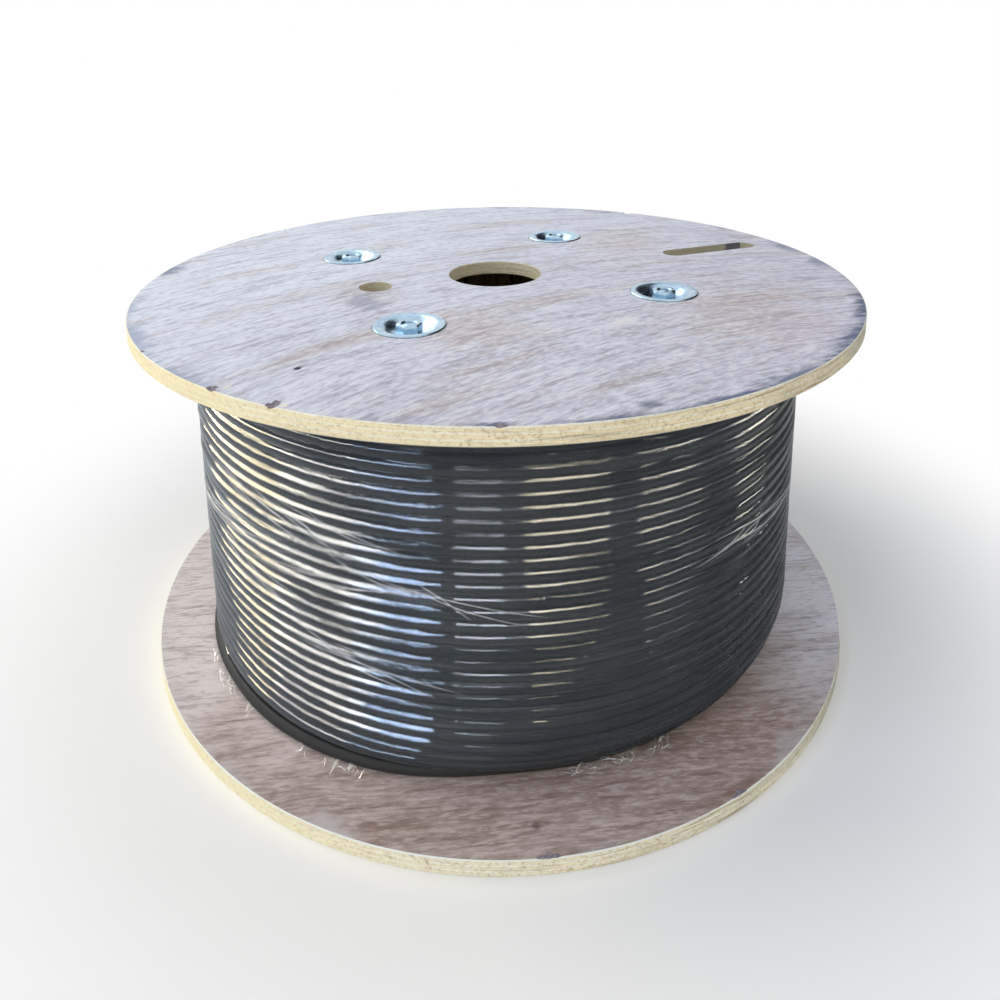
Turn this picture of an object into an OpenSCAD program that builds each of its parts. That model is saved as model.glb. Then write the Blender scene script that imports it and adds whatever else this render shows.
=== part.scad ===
// Plywood cable drum, wound full of round cable and wrapped in clear film.
// It stands on its lower flange. The origin is the centre of that flange's outer face,
// +Z runs up the drum axis, and +X runs along the slot in the upper flange. Millimetres.

/* [Flanges] */
// Diameter of both plywood flanges
flange_d = 600; // [560:5:900]
// Thickness of the plywood
flange_t = 12; // [12:0.5:24]
// Width of the eased edge round each flange
flange_edge = 0.8; // [0.2:0.1:2]
// Diameter of the axle hole through both flanges
arbor_d = 80; // [40:1:120]
// Diameter of the drive pin hole
drive_hole_d = 28; // [16:1:40]
// Distance from the drum axis to the drive pin hole
drive_hole_offset = 107; // [90:1:120]
// Width of the slot that lets the inner cable end out
slot_w = 22; // [12:1:30]
// Length of the slot, end to end
slot_l = 100; // [50:1:110]
// Wood left between the barrel groove and the slot
slot_land = 2; // [1:0.5:10]

/* [Barrel] */
// Diameter of the barrel over its staves
barrel_d = 340; // [320:1:380]
// Clear width between the flanges
traverse = 268; // [150:1:400]
// Number of staves round the barrel
stave_count = 20; // [14:1:28]
// Thickness of a stave at its middle
stave_t = 13; // [9:0.5:16]
// Gap between neighbouring staves at their inner faces
stave_gap = 3; // [1:0.5:8]
// Depth of the flange groove that holds the stave ends
groove_depth = 3; // [1:0.5:4]

/* [Cable] */
// Outside diameter of the cable
cable_d = 8.9; // [6:0.1:13]
// Diameter over the outermost layer of cable
winding_d = 510; // [430:1:540]

/* [Tie bolts] */
// Number of tie bolts
bolt_count = 4; // [3:1:6]
// Thread diameter of the tie bolts
bolt_d = 10; // [6:0.5:12]
// Gap between a tie bolt and the inside of the barrel
bolt_gap = 2; // [0.5:0.5:10]
// Height of the hexagon bolt head
head_h = 6.4; // [4:0.1:7]
// Height of the hexagon nut
nut_h = 8; // [5:0.5:10]
// Width of head and nut across their flats
nut_flats = 17; // [13:0.5:19]

/* [Dished washers] */
// Outside diameter of the washer rim
washer_d = 54; // [46:1:70]
// Thickness of the pressed steel
washer_t = 1.5; // [1:0.1:2.5]
// Diameter of the dish at the rim
dish_d = 39; // [34:1:44]
// Diameter of the flat floor of the dish
dish_floor_d = 24; // [22:0.5:30]
// Depth of the dish below the top of the rim
dish_depth = 7; // [4:0.5:8]
// Depth to which the upper washer rims have bitten into the plywood
upper_bite = 0.3; // [0.1:0.1:1]

/* [Film wrap] */
// Thickness of the film where its layers lie on each other
film_t = 0.4; // [0.2:0.05:1]
// Height of bare cable left below the film
film_lift = 14; // [2:1:60]

/* [Hidden] */
$fn = 96;
// Room between a piece and its seat
seat_gap = 0.3;
// Room between a bolt and the hole that it passes through
bolt_play = 0.5;
// Room between a bolt and the thread of its nut
thread_play = 0.1;
// Distance that a cutting shape runs past the face that it cuts
overrun = 1;
// Distance from the top of a nut down to the end of its bolt
bolt_end_drop = 1;
// Height of the chamfer at the corners of heads and nuts, as a share of the width across flats
hex_chamfer_share = 0.06;
// Pitch of the cable layers, as a share of the cable diameter, where turns nest between turns
nesting_share = 0.85;
// Depth from the end turns at which the winding is drawn solid, as a share of the cable diameter
solid_depth_share = 0.7;

flange_r = flange_d / 2;
barrel_r = barrel_d / 2;
barrel_inner_r = barrel_r - stave_t;
drum_h = traverse + 2 * flange_t;
upper_flange_z = flange_t + traverse;
bolt_r = bolt_d / 2;
bolt_circle_r = barrel_inner_r - bolt_gap - bolt_r;
bolt_step = 360 / bolt_count;
slot_start = barrel_r + seat_gap + slot_land;
stave_step = 360 / stave_count;
stave_w = 2 * barrel_inner_r * tan(stave_step / 2) - stave_gap;
stave_l = traverse + 2 * groove_depth;
washer_r = washer_d / 2;
dish_r = dish_d / 2;
dish_floor_r = dish_floor_d / 2;
bolt_hole_r = bolt_r + bolt_play;
// The lower washers are let in flush, so that the drum stands on plywood
lower_bite = washer_t;
lower_seat_z = lower_bite;
upper_seat_z = drum_h - upper_bite;
head_seat_z = lower_seat_z - washer_t + dish_depth;
nut_seat_z = upper_seat_z + washer_t - dish_depth;
bolt_end_z = nut_seat_z + nut_h - bolt_end_drop;
winding_r = winding_d / 2;
winding_bore_r = barrel_r + seat_gap;
winding_low_z = flange_t + seat_gap;
winding_high_z = upper_flange_z - seat_gap;
winding_h = winding_high_z - winding_low_z;
cable_r = cable_d / 2;
turn_count = floor(winding_h / cable_d);
turn_pitch = (winding_h - cable_d) / (turn_count - 1);
layer_pitch = nesting_share * cable_d;
layer_count = floor((winding_r - winding_bore_r - cable_d) / layer_pitch) + 1;
film_inner_r = winding_r + seat_gap;
film_low_z = flange_t + film_lift;
film_high_z = upper_flange_z - seat_gap;

function numbered(name, count) = [for (i = [1 : count]) str(name, "_", i)];
function bolt_angle(i) = (i - 1 / 2) * bolt_step;

// Puts its children on the circle of tie bolts, at bolt number i
module at_bolt(i) {
    rotate([0, 0, bolt_angle(i)]) translate([bolt_circle_r, 0, 0]) children();
}

// Plain round plate with both rims eased, standing on z = 0
module eased_disc() {
    rotate_extrude()
        polygon([
            [0, 0],
            [flange_r - flange_edge, 0],
            [flange_r, flange_edge],
            [flange_r, flange_t - flange_edge],
            [flange_r - flange_edge, flange_t],
            [0, flange_t]
        ]);
}

// Ring groove in the plate's upper face that takes the stave ends
module stave_groove() {
    translate([0, 0, flange_t - groove_depth])
        difference() {
            cylinder(h = groove_depth + overrun, r = barrel_r + seat_gap);
            translate([0, 0, -overrun])
                cylinder(h = groove_depth + 3 * overrun, r = barrel_inner_r - seat_gap);
        }
}

// Seat for a dished washer in the plate's lower face, with the bolt hole beyond it
module washer_seat(bite) {
    dish_cut = dish_depth + seat_gap;
    dish_slope = (dish_r - dish_floor_r) / dish_depth;
    mouth_r = dish_floor_r + seat_gap + dish_slope * (dish_cut + bite);
    translate([0, 0, -overrun])
        cylinder(h = bite + overrun, r = washer_r + seat_gap);
    translate([0, 0, bite])
        cylinder(h = dish_cut, r1 = mouth_r, r2 = dish_floor_r + seat_gap);
    cylinder(h = flange_t + overrun, r = bolt_hole_r);
}

// Flange blank: outer face on z = 0, barrel groove in its upper face, every round hole cut
module flange_blank(bite) {
    difference() {
        eased_disc();
        stave_groove();
        translate([0, 0, -overrun])
            cylinder(h = flange_t + 2 * overrun, d = arbor_d);
        translate([-drive_hole_offset, 0, -overrun])
            cylinder(h = flange_t + 2 * overrun, d = drive_hole_d);
        for (i = [1 : bolt_count]) at_bolt(i) washer_seat(bite);
    }
}

// Radial slot with round ends
module tail_slot() {
    slot_r = slot_w / 2;
    translate([0, 0, -overrun])
        linear_extrude(height = flange_t + 2 * overrun) {
            translate([slot_start + slot_r, -slot_r]) square([slot_l - slot_w, slot_w]);
            for (x = [slot_start + slot_r, slot_start + slot_l - slot_r])
                translate([x, 0]) circle(r = slot_r);
        }
}

module lower_flange() {
    color("burlywood") flange_blank(lower_bite);
}

module upper_flange() {
    color("thistle")
        translate([0, 0, drum_h])
            mirror([0, 0, 1])
                difference() {
                    flange_blank(upper_bite);
                    tail_slot();
                }
}

// One barrel stave: parallel sides, flat inside, rounded outside to the barrel
module barrel_stave(i) {
    color("wheat")
        rotate([0, 0, (i - 1) * stave_step])
            translate([0, 0, flange_t - groove_depth])
                intersection() {
                    translate([barrel_inner_r, -stave_w / 2, 0])
                        cube([stave_t + overrun, stave_w, stave_l]);
                    cylinder(h = stave_l, r = barrel_r);
                }
}

// Half section of the wound cable: round turns on the outside and on both ends
module winding_section() {
    solid_depth = solid_depth_share * cable_d;
    outer_turn_r = winding_r - cable_r;
    translate([winding_bore_r, winding_low_z + solid_depth])
        square([outer_turn_r - winding_bore_r, winding_h - 2 * solid_depth]);
    for (turn = [0 : turn_count - 1])
        translate([outer_turn_r, winding_low_z + cable_r + turn * turn_pitch])
            circle(r = cable_r);
    for (layer = [1 : layer_count - 1]) {
        set_in = layer % 2 * turn_pitch / 2;
        for (z = [winding_low_z + cable_r + set_in, winding_high_z - cable_r - set_in])
            translate([outer_turn_r - layer * layer_pitch, z]) circle(r = cable_r);
    }
}

module cable_winding() {
    color("dimgray") rotate_extrude() winding_section();
}

module film_wrap() {
    color("lightcyan", 0.4)
        translate([0, 0, film_low_z])
            difference() {
                cylinder(h = film_high_z - film_low_z, r = film_inner_r + film_t);
                translate([0, 0, -overrun])
                    cylinder(h = film_high_z - film_low_z + 2 * overrun, r = film_inner_r);
            }
}

// Hexagon with its upper corners chamfered, standing on z = 0
module chamfered_hexagon(height) {
    corner_r = nut_flats / 2 / cos(30);
    chamfer = hex_chamfer_share * nut_flats;
    intersection() {
        cylinder(h = height, r = corner_r, $fn = 6);
        rotate_extrude()
            polygon([
                [0, 0],
                [corner_r + overrun, 0],
                [corner_r + overrun, height - chamfer],
                [corner_r, height - chamfer],
                [corner_r - chamfer / tan(30), height],
                [0, height]
            ]);
    }
}

// Bolt with its hexagon head in the lower dish and its thread end in the upper one
module tie_bolt(i) {
    color("silver")
        at_bolt(i) {
            translate([0, 0, head_seat_z]) mirror([0, 0, 1]) chamfered_hexagon(head_h);
            translate([0, 0, head_seat_z]) cylinder(h = bolt_end_z - head_seat_z, r = bolt_r);
        }
}

module tie_nut(i) {
    color("silver")
        at_bolt(i)
            translate([0, 0, nut_seat_z])
                difference() {
                    chamfered_hexagon(nut_h);
                    translate([0, 0, -overrun])
                        cylinder(h = nut_h + 2 * overrun, r = bolt_r + thread_play);
                }
}

// Pressed washer: flat rim seated on z = 0, with a dish that goes down to a flat floor
module dished_washer() {
    rotate_extrude()
        polygon([
            [bolt_hole_r, -dish_depth],
            [dish_floor_r, -dish_depth],
            [dish_r, 0],
            [washer_r, 0],
            [washer_r, washer_t],
            [dish_r, washer_t],
            [dish_floor_r, washer_t - dish_depth],
            [bolt_hole_r, washer_t - dish_depth]
        ]);
}

module upper_washer(i) {
    color("gainsboro") at_bolt(i) translate([0, 0, upper_seat_z]) dished_washer();
}

module lower_washer(i) {
    color("gainsboro")
        at_bolt(i) translate([0, 0, lower_seat_z]) mirror([0, 0, 1]) dished_washer();
}

upper_flange();
lower_flange();
cable_winding();
film_wrap();
for (i = [1 : stave_count])
    barrel_stave(i);
for (i = [1 : bolt_count]) {
    tie_bolt(i);
    tie_nut(i);
    upper_washer(i);
    lower_washer(i);
}
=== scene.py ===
"""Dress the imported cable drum: plywood flanges, wound cable, stretch film and zinc plated tie hardware."""

from __future__ import annotations

import logging
from dataclasses import dataclass
from enum import Enum
from math import atan2, cos, hypot, pi, radians, sin, tan
from typing import Sequence, Union

import bpy
import numpy as np
from mathutils import Matrix, Vector, noise
from mathutils.kdtree import KDTree

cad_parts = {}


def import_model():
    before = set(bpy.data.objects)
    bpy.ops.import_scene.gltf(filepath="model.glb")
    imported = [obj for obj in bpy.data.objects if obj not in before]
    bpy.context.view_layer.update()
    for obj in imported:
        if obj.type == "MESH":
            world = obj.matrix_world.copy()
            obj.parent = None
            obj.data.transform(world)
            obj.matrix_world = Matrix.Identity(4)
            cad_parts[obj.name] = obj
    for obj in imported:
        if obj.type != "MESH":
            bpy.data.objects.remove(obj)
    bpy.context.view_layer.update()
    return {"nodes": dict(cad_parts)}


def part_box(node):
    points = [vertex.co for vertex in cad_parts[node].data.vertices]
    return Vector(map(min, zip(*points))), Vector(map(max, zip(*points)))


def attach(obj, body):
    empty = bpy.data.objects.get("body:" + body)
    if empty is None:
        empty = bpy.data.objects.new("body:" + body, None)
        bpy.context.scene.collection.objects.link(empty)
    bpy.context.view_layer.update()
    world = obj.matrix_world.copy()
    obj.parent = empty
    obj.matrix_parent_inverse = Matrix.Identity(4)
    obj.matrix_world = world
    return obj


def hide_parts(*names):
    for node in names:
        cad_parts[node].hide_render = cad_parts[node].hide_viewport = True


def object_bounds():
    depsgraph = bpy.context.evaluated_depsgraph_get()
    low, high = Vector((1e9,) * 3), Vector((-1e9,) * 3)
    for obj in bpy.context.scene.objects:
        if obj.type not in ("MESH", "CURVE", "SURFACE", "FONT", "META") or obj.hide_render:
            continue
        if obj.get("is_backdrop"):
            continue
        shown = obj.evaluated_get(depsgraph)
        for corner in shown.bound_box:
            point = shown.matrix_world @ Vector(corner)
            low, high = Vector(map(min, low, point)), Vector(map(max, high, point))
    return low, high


LOG = logging.getLogger("cable_drum")
BODY = "root"
MM = 0.001
FULL_TURN = 2.0 * pi

# How far a ply's colour and relief stop short of its glue line, as a share of the plywood's thickness.
GLUE_SHARE = 0.012

# The slot lies along +X. The photograph's camera stands at CAMERA_SIDE, so its view is turned by PHOTO_TURN.
PHOTO_TURN = radians(-20.4)
CAMERA_SIDE = radians(-110.4)
BACK_SIDE = CAMERA_SIDE + pi

Colour = tuple[float, float, float, float]
Pair = tuple[float, float]
Triple = tuple[float, float, float]
Piece = bpy.types.Object
Mesh = bpy.types.Mesh
Material = bpy.types.Material
Socket = bpy.types.NodeSocket
Paint = Union[str, Socket]
Value = Union[float, int, bool, str, tuple, Socket, bpy.types.ID]
INPUT_KINDS = ((Piece, "Object"), (Material, "Material"), (int, "Int"), (float, "Float"))
WHITE: Colour = (1.0, 1.0, 1.0, 1.0)
CLEAR_FILM: Colour = (0.98, 0.982, 0.985, 1.0)


def srgb(code: str) -> Colour:
    """Turn a hex colour such as "c8c2c9" into the linear colour that a socket holds."""
    channels = [int(code[start : start + 2], 16) / 255.0 for start in (0, 2, 4)]
    linear = [c / 12.92 if c <= 0.04045 else ((c + 0.055) / 1.055) ** 2.4 for c in channels]
    return (linear[0], linear[1], linear[2], 1.0)


class NodeGraph:
    """Short calls that add, set and wire the nodes of one tree."""

    def __init__(self, tree: bpy.types.NodeTree) -> None:
        """Work on the given tree."""
        self.tree = tree

    def add(self, kind: str, inputs: dict | None = None, **settings: object) -> bpy.types.Node:
        """Add a node.

        Args:
            kind: Blender's name for the type of node.
            inputs: A value or a socket for each input, by the input's name or number.
            settings: The node's own properties, set before its inputs.

        Returns:
            The new node.
        """
        node = self.tree.nodes.new(kind)
        for name, value in settings.items():
            setattr(node, name, value)
        for key, value in (inputs or {}).items():
            if isinstance(value, bpy.types.NodeSocket):
                self.tree.links.new(value, node.inputs[key])
            else:
                node.inputs[key].default_value = value
        return node

    def out(self, kind: str, inputs: dict | None = None, **settings: object) -> Socket:
        """Add a node and return its first output."""
        return self.add(kind, inputs, **settings).outputs[0]

    def math(self, operation: str, first: Value, second: Value = 0.0, third: Value = 0.0) -> Socket:
        """Return one operation on numbers."""
        return self.out("ShaderNodeMath", {0: first, 1: second, 2: third}, operation=operation)

    def times(self, first: Value, second: Value, more: Value | None = None) -> Socket:
        """Return a product, with one more number added to it where it is given."""
        if more is None:
            return self.math("MULTIPLY", first, second)
        return self.math("MULTIPLY_ADD", first, second, more)

    def plus(self, first: Value, second: Value) -> Socket:
        """Return a sum."""
        return self.math("ADD", first, second)

    def minus(self, first: Value, second: Value) -> Socket:
        """Return a difference."""
        return self.math("SUBTRACT", first, second)

    def vector(self, operation: str, first: Value, second: Value = (0.0, 0.0, 0.0)) -> Socket:
        """Return one operation on vectors that gives a vector."""
        return self.out("ShaderNodeVectorMath", {0: first, 1: second}, operation=operation)

    def measure(self, operation: str, first: Value, second: Value = (0.0, 0.0, 0.0)) -> Socket:
        """Return one operation on vectors that gives a number."""
        return self.vector(operation, first, second).node.outputs["Value"]

    def parts(self, vector: Socket) -> tuple[Socket, Socket, Socket]:
        """Return the three numbers of a vector."""
        node = self.add("ShaderNodeSeparateXYZ", {0: vector})
        return node.outputs[0], node.outputs[1], node.outputs[2]

    def join(self, x: Value, y: Value, z: Value = 0.0) -> Socket:
        """Return a vector of three numbers."""
        return self.out("ShaderNodeCombineXYZ", {0: x, 1: y, 2: z})

    def reach(self, place: Socket) -> Socket:
        """Return how far a place lies from the Z axis, in metres."""
        x, y, _ = self.parts(place)
        return self.math("SQRT", self.plus(self.times(x, x), self.times(y, y)))

    def toward(self, place: Socket, angle: float) -> Socket:
        """Return how far a place lies from the Z axis toward an angle, in metres."""
        return self.measure("DOT_PRODUCT", place, (cos(angle), sin(angle), 0.0))

    def fade(self, value: Value, low: Value, high: Value, start: Value = 0.0, end: Value = 1.0) -> Socket:
        """Return a smooth step from start, at low, to end, at high."""
        inputs = {"Value": value, "From Min": low, "From Max": high, "To Min": start, "To Max": end}
        return self.out("ShaderNodeMapRange", inputs, interpolation_type="SMOOTHSTEP")

    def noise(self, place: Value, scale: float = 1.0, detail: float = 2.0, rough: float = 0.5) -> Socket:
        """Return a noise from 0 to 1 at a place."""
        inputs = {"Vector": place, "Scale": scale, "Detail": detail, "Roughness": rough}
        return self.out("ShaderNodeTexNoise", inputs)

    def stretch(self, place: Socket, scale: Sequence[float], turn: float = 0.0, seed: float = 0.0) -> Socket:
        """Return coordinates that are turned about Z, then scaled and shifted.

        Args:
            place: The coordinates.
            scale: A factor for each axis, after the turn.
            turn: The turn in radians.
            seed: A shift that gives another part of a pattern.

        Returns:
            The new coordinates.
        """
        turned = self.out("ShaderNodeMapping", {"Vector": place, "Rotation": (0.0, 0.0, -turn)})
        shift = (seed, 1.7 * seed, 0.6 * seed)
        return self.out("ShaderNodeMapping", {"Vector": turned, "Scale": tuple(scale), "Location": shift})

    def pattern(
        self,
        place: Socket,
        scale: Sequence[float],
        seed: float = 0.0,
        detail: float = 2.0,
        rough: float = 0.5,
        turn: float = 0.0,
    ) -> Socket:
        """Return a noise, from 0 to 1, on coordinates that are turned, scaled and shifted by a seed."""
        return self.noise(self.stretch(place, scale, turn, seed), 1.0, detail, rough)

    def blend(self, share: Value, first: Paint, second: Paint) -> Socket:
        """Return a mix of two colours, each a socket or a hex colour."""
        first, second = (srgb(paint) if isinstance(paint, str) else paint for paint in (first, second))
        return self.add("ShaderNodeMix", {0: share, 6: first, 7: second}, data_type="RGBA").outputs[2]

    def layered(self, colour: Socket, layers: Sequence[tuple[Value, Paint]]) -> Socket:
        """Return a colour with others laid over it in turn, each by its share."""
        for share, paint in layers:
            colour = self.blend(share, colour, paint)
        return colour

    def layer(self, share: Value, under: Socket, over: Socket) -> Socket:
        """Return a mix of two shaders."""
        return self.out("ShaderNodeMixShader", {0: share, 1: under, 2: over})

    def ramp(self, share: Value, stops: Sequence[tuple[float, Colour]]) -> Socket:
        """Return a colour from a ramp.

        Args:
            share: The place on the ramp, from 0 to 1.
            stops: At least two places, each with its colour.

        Returns:
            The colour.
        """
        node = self.add("ShaderNodeValToRGB", {0: share})
        elements = node.color_ramp.elements
        for element, stop in zip((elements[0], elements[1]), (stops[0], stops[-1])):
            element.position, element.color = stop
        for place, colour in stops[1:-1]:
            elements.new(place).color = colour
        return node.outputs[0]

    def bump(self, height: Socket, distance: float, strength: float) -> Socket:
        """Return a normal that follows a height."""
        return self.out("ShaderNodeBump", {"Height": height, "Distance": distance, "Strength": strength})


class FinishGraph(NodeGraph):
    """The node tree of one material."""

    def __init__(self, name: str) -> None:
        """Start an empty material of that name."""
        self.material = bpy.data.materials.new(name)
        self.material.use_nodes = True
        super().__init__(self.material.node_tree)
        self.tree.nodes.clear()

    def place(self) -> Socket:
        """Return the Object coordinates."""
        return self.add("ShaderNodeTexCoord").outputs["Object"]

    def attribute(self, name: str) -> Socket:
        """Return the number that a mesh attribute holds."""
        return self.add("ShaderNodeAttribute", attribute_name=name).outputs["Fac"]

    def principled(self, **inputs: Value) -> Socket:
        """Return a Principled shader, its inputs named in lower case with underscores."""
        named = {}
        for name, value in inputs.items():
            named[name.replace("_", " ").title().replace("Ior", "IOR")] = value
        return self.out("ShaderNodeBsdfPrincipled", named)

    def close(self, shader: Socket) -> Material:
        """Wire the shader to the output and return the material."""
        self.add("ShaderNodeOutputMaterial", {"Surface": shader})
        return self.material


class GeometryRecipe(NodeGraph):
    """A Geometry Nodes tree with named inputs, run once to give a plain mesh."""

    def __init__(self, name: str) -> None:
        """Start an empty tree of that name."""
        super().__init__(bpy.data.node_groups.new(name, "GeometryNodeTree"))
        self.tree.interface.new_socket("Geometry", in_out="OUTPUT", socket_type="NodeSocketGeometry")
        self.entry = self.add("NodeGroupInput")
        self.values: dict[str, object] = {}

    def input(self, name: str, value: object) -> Socket:
        """Add a named input.

        Args:
            name: The input's name.
            value: The object, material or number that the modifier gives it.

        Returns:
            The socket that the tree reads it from.
        """
        kind = next(label for owner, label in INPUT_KINDS if isinstance(value, owner))
        item = self.tree.interface.new_socket(name, in_out="INPUT", socket_type="NodeSocket" + kind)
        self.values[item.identifier] = value
        return self.entry.outputs[name]

    def close(self, geometry: Socket, material: Socket) -> None:
        """End the tree in Realize Instances and Set Material."""
        real = self.out("GeometryNodeRealizeInstances", {0: geometry})
        painted = self.out("GeometryNodeSetMaterial", {"Geometry": real, "Material": material})
        self.add("NodeGroupOutput", {0: painted})

    def run(self, name: str) -> Piece:
        """Evaluate the tree.

        Args:
            name: The name of a new object.

        Returns:
            The object, with the result as its plain mesh.
        """
        piece = new_piece(name, bpy.data.meshes.new(name))
        modifier = piece.modifiers.new("recipe", "NODES")
        modifier.node_group = self.tree
        for identifier, value in self.values.items():
            modifier[identifier] = value
        make_plain(piece)
        return piece


def new_piece(name: str, data: bpy.types.ID) -> Piece:
    """Put a mesh, lamp or camera into the scene as an object of that name."""
    piece = bpy.data.objects.new(name, data)
    bpy.context.scene.collection.objects.link(piece)
    return piece


def make_plain(piece: Piece) -> None:
    """Turn an object with modifiers into one with a plain mesh.

    Args:
        piece: The object, which is changed.
    """
    depsgraph = bpy.context.evaluated_depsgraph_get()
    done = piece.evaluated_get(depsgraph)
    mesh = bpy.data.meshes.new_from_object(done, preserve_all_data_layers=True, depsgraph=depsgraph)
    piece.modifiers.clear()
    old = piece.data
    piece.data = mesh
    mesh.name = piece.name
    if old.users == 0:
        bpy.data.meshes.remove(old)


def join_pieces(name: str, pieces: Sequence[Piece]) -> Piece:
    """Join several objects into the first.

    Args:
        name: The new name of the first object.
        pieces: The objects.

    Returns:
        The first object, which holds them all.
    """
    with bpy.context.temp_override(active_object=pieces[0], selected_editable_objects=list(pieces)):
        bpy.ops.object.join()
    pieces[0].name = name
    pieces[0].data.name = name
    return pieces[0]


def smooth(piece: Piece, limit: float) -> None:
    """Shade a piece smooth, with edges sharper than the limit, in degrees, left sharp."""
    piece.data.shade_smooth()
    piece.data.set_sharp_from_angle(angle=radians(limit))


def coat(piece: Piece, *materials: Material) -> None:
    """Give a piece these materials and no others."""
    piece.data.materials.clear()
    for material in materials:
        piece.data.materials.append(material)


def plain_mesh(name: str, points: Sequence, faces: Sequence, edges: Sequence = ()) -> Mesh:
    """Make a mesh.

    Args:
        name: The mesh's name.
        points: Three coordinates for each point.
        faces: The numbers of each face's points.
        edges: The numbers of the points of each edge that has no face.

    Returns:
        The mesh.
    """
    mesh = bpy.data.meshes.new(name)
    mesh.from_pydata(points, edges, faces)
    mesh.update()
    return mesh


def grid_mesh(name: str, points: np.ndarray, wrapped: bool) -> Mesh:
    """Make a mesh of quads from a grid of points.

    Args:
        name: The mesh's name.
        points: An array of rows, columns and three coordinates.
        wrapped: Whether the last row joins the first, and the last column the first.

    Returns:
        The mesh, its faces on the side of row direction times column direction.
    """
    rows, columns = points.shape[:2]
    row = np.arange(rows if wrapped else rows - 1)[:, None]
    column = np.arange(columns if wrapped else columns - 1)[None, :]
    next_row = (row + 1) % rows
    next_column = (column + 1) % columns
    corners = [
        row * columns + column,
        next_row * columns + column,
        next_row * columns + next_column,
        row * columns + next_column,
    ]
    faces = np.stack([np.broadcast_to(c, (row.size, column.size)) for c in corners], axis=-1).reshape(-1, 4)
    return plain_mesh(name, points.reshape(-1, 3).tolist(), faces.tolist())


def turned_points(rows: Sequence[tuple], columns: int) -> np.ndarray:
    """Place rows of radius and height round the Z axis.

    Args:
        rows: A radius and a height for each row, each one number or one a column.
        columns: How many columns go round.

    Returns:
        An array of rows, columns and three coordinates.
    """
    angles = np.arange(columns) * FULL_TURN / columns
    radius = np.array([np.broadcast_to(row[0], columns) for row in rows])
    height = np.array([np.broadcast_to(row[1], columns) for row in rows])
    return np.stack([radius * np.cos(angles), radius * np.sin(angles), height], axis=-1)


def lathe(name: str, rows: Sequence[tuple], columns: int) -> Mesh:
    """Turn a closed outline, given clockwise as rows of radius and height, round the Z axis."""
    return grid_mesh(name, turned_points(rows, columns), True)


def prism(name: str, outline: Sequence[Pair], low: float, high: float) -> Mesh:
    """Extrude a flat outline.

    Args:
        name: The mesh's name.
        outline: The outline's points, anticlockwise.
        low: The height of the foot.
        high: The height of the top.

    Returns:
        The mesh.
    """
    count = len(outline)
    points = [(x, y, low) for x, y in outline] + [(x, y, high) for x, y in outline]
    sides = [(i, (i + 1) % count, count + (i + 1) % count, count + i) for i in range(count)]
    faces = sides + [tuple(reversed(range(count))), tuple(range(count, 2 * count))]
    return plain_mesh(name, points, faces)


def circle_outline(radius: float, sides: int, centre: Pair) -> list[Pair]:
    """Return a round outline, anticlockwise."""
    steps = [FULL_TURN * i / sides for i in range(sides)]
    return [(centre[0] + radius * cos(a), centre[1] + radius * sin(a)) for a in steps]


def polar(radius: float, angle: float, height: float = 0.0) -> Vector:
    """Return a point from its radius, angle in radians and height."""
    return Vector((radius * cos(angle), radius * sin(angle), height))


@dataclass(frozen=True)
class DrumSizes:
    """Sizes of the drum's solids, in metres."""

    rim_radius: float = 300.0 * MM
    arbor_radius: float = 40.0 * MM
    edge: float = 0.8 * MM
    groove_inner: float = 156.7 * MM
    groove_outer: float = 170.3 * MM
    groove_depth: float = 3.0 * MM
    drive_radius: float = 14.0 * MM
    drive_offset: float = 107.0 * MM
    slot_start: float = 172.3 * MM
    slot_end: float = 272.3 * MM
    slot_half: float = 11.0 * MM
    bolt_circle: float = 150.0 * MM
    bolt_count: int = 4
    first_bolt: float = radians(45.0)
    bolt_radius: float = 5.0 * MM
    cable_diameter: float = 8.9 * MM
    layer_pitch: float = 7.565 * MM
    bore_radius: float = 170.3 * MM
    winding_radius: float = 255.0 * MM
    washer_radius: float = 27.0 * MM
    washer_thickness: float = 1.5 * MM
    dish_radius: float = 19.5 * MM
    dish_floor_radius: float = 12.0 * MM
    dish_depth: float = 7.0 * MM
    nut_flats: float = 17.0 * MM
    nut_height: float = 8.0 * MM

    @property
    def cable_radius(self) -> float:
        """Return half the cable's diameter."""
        return self.cable_diameter / 2.0


SIZES = DrumSizes()


@dataclass(frozen=True)
class VeneerMark:
    """A stain, scuff, bare strip or patch of painted light on a veneer: radius in metres, angle in degrees,
    then its half sizes.
    """

    radius: float
    angle: float
    across: float
    along: float
    colour: str
    share: float
    ragged: float = 2.2


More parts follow.
